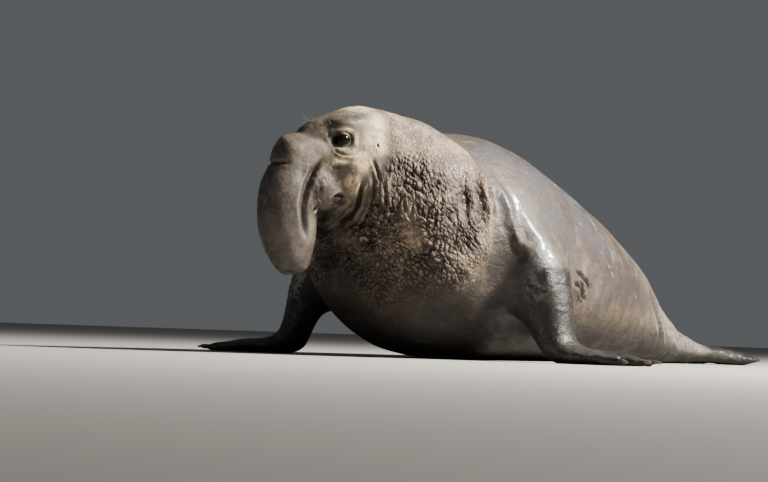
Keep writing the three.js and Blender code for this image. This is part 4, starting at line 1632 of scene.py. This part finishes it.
@dataclass
class Whiskers:
    """The stiff whiskers of the upper lips, brows and nose."""

    head: HeadFrame
    beds: tuple[WhiskerBed, ...] = (
        WhiskerBed((0.212, 0, -0.195), (-0.085, 0, 0.005), (-0.012, 0, -0.12), 4, 6, 0.042,
            (-0.45, 0.5, -0.85)),
        WhiskerBed((0.12, 0, 0.055), (-0.07, 0, 0.012), (-0.01, 0, 0.022), 2, 4, 0.08, (0.6, 0.35, 0.6)),
        WhiskerBed((0.2, 0, 0.0), (0.0, 0, 0.0), (0.0, 0, -0.02), 1, 1, 0.06, (0.3, 0.8, 0.4)),
    )
    sides: int = 5
    steps: int = 8
    seed: int = 3

    def whisker(
        self, shape: bmesh.types.BMesh, root: Vector, lean: Vector, droop: Vector, thick: float
    ) -> None:
        """Add one tapered and curved whisker.

        Args:
            shape: The mesh to add it to.
            root: Where it leaves the skin.
            lean: Its length and direction at the root.
            droop: How far its tip is bent away.
            thick: Its radius at the root.
        """
        across = lean.cross(droop).normalized()
        over = across.cross(lean).normalized()
        rings = []
        for step in range(self.steps):
            t = step / self.steps
            middle = root + lean * t + droop * t * t
            radius = thick * (1 - t) ** 0.7
            turns = [math.tau * k / self.sides for k in range(self.sides)]
            points = [middle + radius * (across * math.cos(a) + over * math.sin(a)) for a in turns]
            rings.append([shape.verts.new(point) for point in points])
        tip = shape.verts.new(root + lean + droop)
        for low, high in zip(rings, rings[1:]):
            for k in range(self.sides):
                shape.faces.new((low[k], low[k - 1], high[k - 1], high[k]))
        for k in range(self.sides):
            shape.faces.new((rings[-1][k], rings[-1][k - 1], tip))
        shape.faces.new(rings[0])

    def build(self, skin: bpy.types.Object) -> None:
        """Root the whiskers in the skin.

        Args:
            skin: The finished skin.
        """
        draw = np.random.default_rng(self.seed)
        shape = bmesh.new()
        bpy.context.view_layer.update()
        turn = self.head.turn
        for bed in self.beds:
            for number in range(bed.rows * bed.columns * 2):
                side = Side.LEFT if number % 2 else Side.RIGHT
                row, column = divmod(number // 2, bed.columns)
                u, v = (column + 0.5 * (row % 2)) / bed.columns, row / bed.rows
                place = np.array(bed.corner) + u * np.array(bed.along) + v * np.array(bed.down)
                place += draw.normal(0, 0.004, 3)
                start = self.head.to_frame(place * (1, 0, 1) + (0, 0.4 * side.value, 0))
                hit, at, normal, _ = skin.ray_cast(Vector(start), -turn.col[1] * side.value)
                if not hit:
                    continue
                lean = turn @ Vector((bed.lean[0], bed.lean[1] * side.value, bed.lean[2]))
                lean = (lean + 0.5 * normal + Vector(draw.normal(0, 0.1, 3))).normalized()
                long = bed.length * draw.uniform(0.65, 1.15)
                droop = Vector((0, 0.25, -0.45)) * long * draw.uniform(0.3, 0.8)
                thick = bed.thick * draw.uniform(0.8, 1.1)
                self.whisker(shape, at - normal * 0.002, lean * long, droop, thick)
        item = from_bmesh("seal_whiskers", shape)
        item.data.materials.append(WhiskerFinish().material())
        adopt(item)


@dataclass
class Coat:
    """Short tufts of hair that lie back along the body and roughen its outline."""

    head: HeadFrame
    tufts: int = 150000
    most_in_piece: int = 48000
    seed: int = 7
    patch: float = 0.003
    # The tufts carry the skin's regions and its painted crease shade.
    masks: tuple[str, ...] = (*Regions().names, "shaded_hollow")
    material: bpy.types.Material = field(init=False)

    def __post_init__(self) -> None:
        """Make the material that all the pieces share."""
        self.material = HideFinish().coat()

    @staticmethod
    def read(mesh: bpy.types.Mesh, name: str) -> Array:
        """Return the value that the skin stores under a name."""
        values = np.empty(len(mesh.vertices), np.float32)
        mesh.attributes[name].data.foreach_get("value", values)
        return values

    def unwrap(self, points: Array) -> Array:
        """Lay points on a flat unwrap of the skin, where the head, the trunk and each flipper have a part.

        Args:
            points: Roots on the skin.

        Returns:
            Places from 0 to 1, two to a row.
        """
        x, y, z = points.T
        f, left, up = self.head.to_head(points).T
        round_trunk = np.arctan2(x, z - 0.3) / math.tau + 0.5
        trunk = np.stack([round_trunk, 0.46 + 0.53 * (y + 1.5) / 3.4], axis=1)
        round_head = np.arctan2(left, f - 0.05) / math.tau + 0.5
        head = np.stack([0.01 + 0.48 * round_head, 0.02 + 0.4 * (up + 0.72) / 1.0], axis=1)
        reach = (np.hypot(np.abs(x) - 0.5, z - 0.5) + 0.1) / 1.0
        round_arm = np.arctan2(y + 0.95, z - 0.1) / math.tau + 0.5
        arm = np.stack([np.where(x > 0, 0.51, 0.76) + 0.23 * round_arm, 0.02 + 0.4 * reach], axis=1)
        in_head = ((f > -0.16) & (up > -0.75) & (np.abs(left) < 0.3))[:, None]
        on_arm = ((np.abs(x) > 0.62) & (y < -0.5) & (z < 0.55))[:, None]
        return np.clip(np.where(in_head, head, np.where(on_arm, arm, trunk)), 0.003, 0.997)

    def lie(self, points: Array, normal: Array, value: dict[str, Array]) -> Array:
        """Return the way that the hair lies at each root, as unit vectors over the skin."""
        x, y, z = points.T
        sign = np.where(x > 0, 1.0, -1.0)
        flow = np.tile((0.0, 1.0, -0.45), (len(points), 1))
        limb = value["limb"][:, None]
        down = np.stack([0.7 * sign, np.where(y > 0, 1.0, 0.1), -np.ones(len(x))], axis=1)
        flow = flow * (1 - limb) + down * limb
        nose = value["nose"][:, None]
        flow = flow * (1 - nose) + np.array((0.1, 0.1, -1.0)) * nose
        flow = flow + (0.25 + 0.5 * value["shield"])[:, None] * drift(points, 0.045, 131, 3)
        flow -= (flow * normal).sum(axis=1)[:, None] * normal
        return flow / np.maximum(np.linalg.norm(flow, axis=1), 1e-6)[:, None]

    def build(self, skin: bpy.types.Object) -> None:
        """Root the tufts all over the skin.

        Args:
            skin: The finished skin.
        """
        mesh = skin.data
        draw = np.random.default_rng(self.seed)
        co = np.empty((len(mesh.vertices), 3))
        mesh.vertices.foreach_get("co", co.reshape(-1))
        normals = np.empty((len(mesh.vertices), 3), np.float32)
        mesh.vertex_normals.foreach_get("vector", normals.reshape(-1))
        corners = np.empty(len(mesh.loops), np.int32)
        mesh.loops.foreach_get("vertex_index", corners)
        corners = corners.reshape(-1, 3)
        value = {name: self.read(mesh, name) for name in self.masks}
        thick = 0.7 + 0.3 * value["shield"] + 0.5 * value["face"] - 0.4 * value["limb"]
        thick *= 1 - 0.7 * value["shaded_hollow"]
        a, b, c = (co[corners[:, k]] for k in range(3))
        area = np.linalg.norm(np.cross(b - a, c - a), axis=1) * thick[corners].mean(axis=1)
        count = self.tufts
        total = np.cumsum(area)
        face = corners[np.searchsorted(total, draw.uniform(0, total[-1], count))]
        share = draw.dirichlet((1, 1, 1), count)
        roots = (co[face] * share[:, :, None]).sum(axis=1)
        normal = (normals[face] * share[:, :, None]).sum(axis=1)
        normal /= np.linalg.norm(normal, axis=1)[:, None]
        value = {name: (values[face] * share).sum(axis=1) for name, values in value.items()}
        order = np.argsort(roots[:, 1])
        order = order[roots[order, 2] > 0.012]
        for number, first in enumerate(range(0, len(order), self.most_in_piece)):
            pick = order[first : first + self.most_in_piece]
            picked = {name: values[pick] for name, values in value.items()}
            self.piece(number, roots[pick], normal[pick], picked, draw)

    def piece(
        self, number: int, roots: Array, normal: Array, value: dict[str, Array], draw: np.random.Generator
    ) -> None:
        """Make one piece of the coat.

        Args:
            number: Which piece it is.
            roots: Where its tufts are rooted.
            normal: The skin's normals there.
            value: The skin's markings there.
            draw: The source of chance.
        """
        count = len(roots)
        lie = self.lie(roots, normal, value)
        across = np.cross(normal, lie)
        small = np.maximum(value["face"], value["limb"])
        long = (0.012 - 0.003 * value["shield"]) * (1 - 0.45 * small) * draw.uniform(0.6, 1.25, count)
        wide = (0.0016 - 0.0006 * small) * draw.uniform(0.7, 1.2, count)
        rise = (0.06 + 0.08 * value["shield"]) * draw.uniform(0.3, 1.7, count)
        long, wide, rise = long[:, None], wide[:, None], rise[:, None]
        base = roots - 0.0007 * normal
        points = np.stack(
            [base - across * wide / 2, base + across * wide / 2, base + normal * wide * 0.5,
             base + long * (lie + normal * rise)], axis=1,
        ).reshape(-1, 3)
        mesh = bpy.data.meshes.new("coat")
        mesh.vertices.add(4 * count)
        mesh.vertices.foreach_set("co", points.astype(np.float32).reshape(-1))
        face = np.array([0, 2, 1, 0, 1, 3, 1, 2, 3, 2, 0, 3])
        corner = (np.arange(count)[:, None] * 4 + face).reshape(-1)
        mesh.loops.add(12 * count)
        mesh.loops.foreach_set("vertex_index", corner.astype(np.int32))
        mesh.polygons.add(4 * count)
        mesh.polygons.foreach_set("loop_start", np.arange(0, 12 * count, 3, dtype=np.int32))
        mesh.update(calc_edges=True)
        spread = np.array([(-0.5, 0), (0.5, 0), (0, 0.3), (0, 1)]) * self.patch
        flat = (self.unwrap(roots)[:, None, :] + spread[None]).reshape(-1, 2)
        layer = mesh.uv_layers.new(name="OFBake")
        layer.data.foreach_set("uv", flat[corner].astype(np.float32).reshape(-1))
        for name, values in (*value.items(), ("tip", None)):
            stored = np.tile((0, 0, 0, 1), count) if values is None else np.repeat(values, 4)
            mesh.attributes.new(name, "FLOAT", "POINT").data.foreach_set("value", stored.astype(np.float32))
        item = add_object(f"seal_coat_{number + 1}", mesh)
        mesh.materials.append(self.material)
        adopt(item)


# The studio


@dataclass(frozen=True)
class Lamp:
    """A square soft light that faces the seal."""

    name: str
    place: Point
    size: float
    power: float
    colour: Colour
    facing: Point = (0, -0.6, 0.5)

    def hang(self) -> None:
        """Hang the lamp."""
        light = bpy.data.lights.new(self.name, "AREA")
        light.size = self.size
        light.energy = self.power
        light.color = self.colour
        item = bpy.data.objects.new(self.name, light)
        to_seal = Vector(self.facing) - Vector(self.place)
        item.rotation_euler = to_seal.to_track_quat("-Z", "Y").to_euler()
        item.location = self.place
        bpy.context.scene.collection.objects.link(item)


@dataclass
class Studio:
    """The camera, the pale floor and the soft lights."""

    picture: tuple[int, int] = (768, 482)
    focal: float = 2860.0
    azimuth: float = 30.0
    distance: float = 13.3
    height: float = 0.12
    roll: float = 1.86
    aim: tuple[float, float] = (430.0, 357.0)
    wrists: Point = (0.0, -0.928, 0.0)
    floor_size: float = 60.0
    sky: Colour = (0.8, 0.84, 0.88)
    sky_strength: float = 0.13
    lamps: tuple[Lamp, ...] = (
        Lamp("key", (5.7, 0.6, 5.4), 1.2, 3900, (1.0, 0.94, 0.85)),
        Lamp("fill", (-4.0, -7.5, 4.0), 4.0, 26, (0.84, 0.92, 1.0)),
    )

    def camera(self) -> None:
        """Place the camera where the photograph was taken from."""
        turn = math.radians(self.azimuth)
        back = Vector((math.sin(turn), -math.cos(turn), 0))
        across = self.aim[0] - self.picture[0] / 2
        down = self.aim[1] - self.picture[1] / 2
        yaw = math.atan(across / self.focal)
        pitch = math.atan(down / self.focal) - math.atan(self.height / self.distance)
        ahead = Matrix.Rotation(yaw, 3, "Z") @ -back
        right = ahead.cross(Vector((0, 0, 1))).normalized()
        ahead = Matrix.Rotation(pitch, 3, right) @ ahead
        right = Matrix.Rotation(-math.radians(self.roll), 3, ahead) @ right
        up = right.cross(ahead)
        lens = bpy.data.cameras.new("camera")
        lens.sensor_width = 36
        lens.lens = self.focal / self.picture[0] * lens.sensor_width
        lens.clip_end = 200
        item = bpy.data.objects.new("camera", lens)
        item.matrix_world = Matrix.Translation(
            Vector(self.wrists) + back * self.distance + Vector((0, 0, self.height))
        ) @ Matrix((right, up, -ahead)).transposed().to_4x4()
        bpy.context.scene.collection.objects.link(item)
        bpy.context.scene.camera = item

    def floor(self) -> None:
        """Lay the floor."""
        shape = bmesh.new()
        bmesh.ops.create_grid(shape, x_segments=1, y_segments=1, size=self.floor_size)
        item = from_bmesh("floor", shape)
        item.data.materials.append(FloorFinish().material())

    def build(self) -> None:
        """Build the studio."""
        self.camera()
        self.floor()
        for lamp in self.lamps:
            lamp.hang()
        world = bpy.data.worlds.new("studio")
        world.use_nodes = True
        sky = world.node_tree.nodes["Background"]
        sky.inputs["Color"].default_value = (*self.sky, 1)
        sky.inputs["Strength"].default_value = self.sky_strength
        bpy.context.scene.world = world


def main() -> None:
    """Build the seal piece by piece and note its size."""
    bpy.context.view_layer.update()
    head = HeadFrame()
    Studio().build()
    skin = Skin(head).build()
    Eyes().build()
    Claws().build()
    Whiskers(head).build(skin)
    Coat(head).build(skin)


if __name__ == "__main__":
    main()
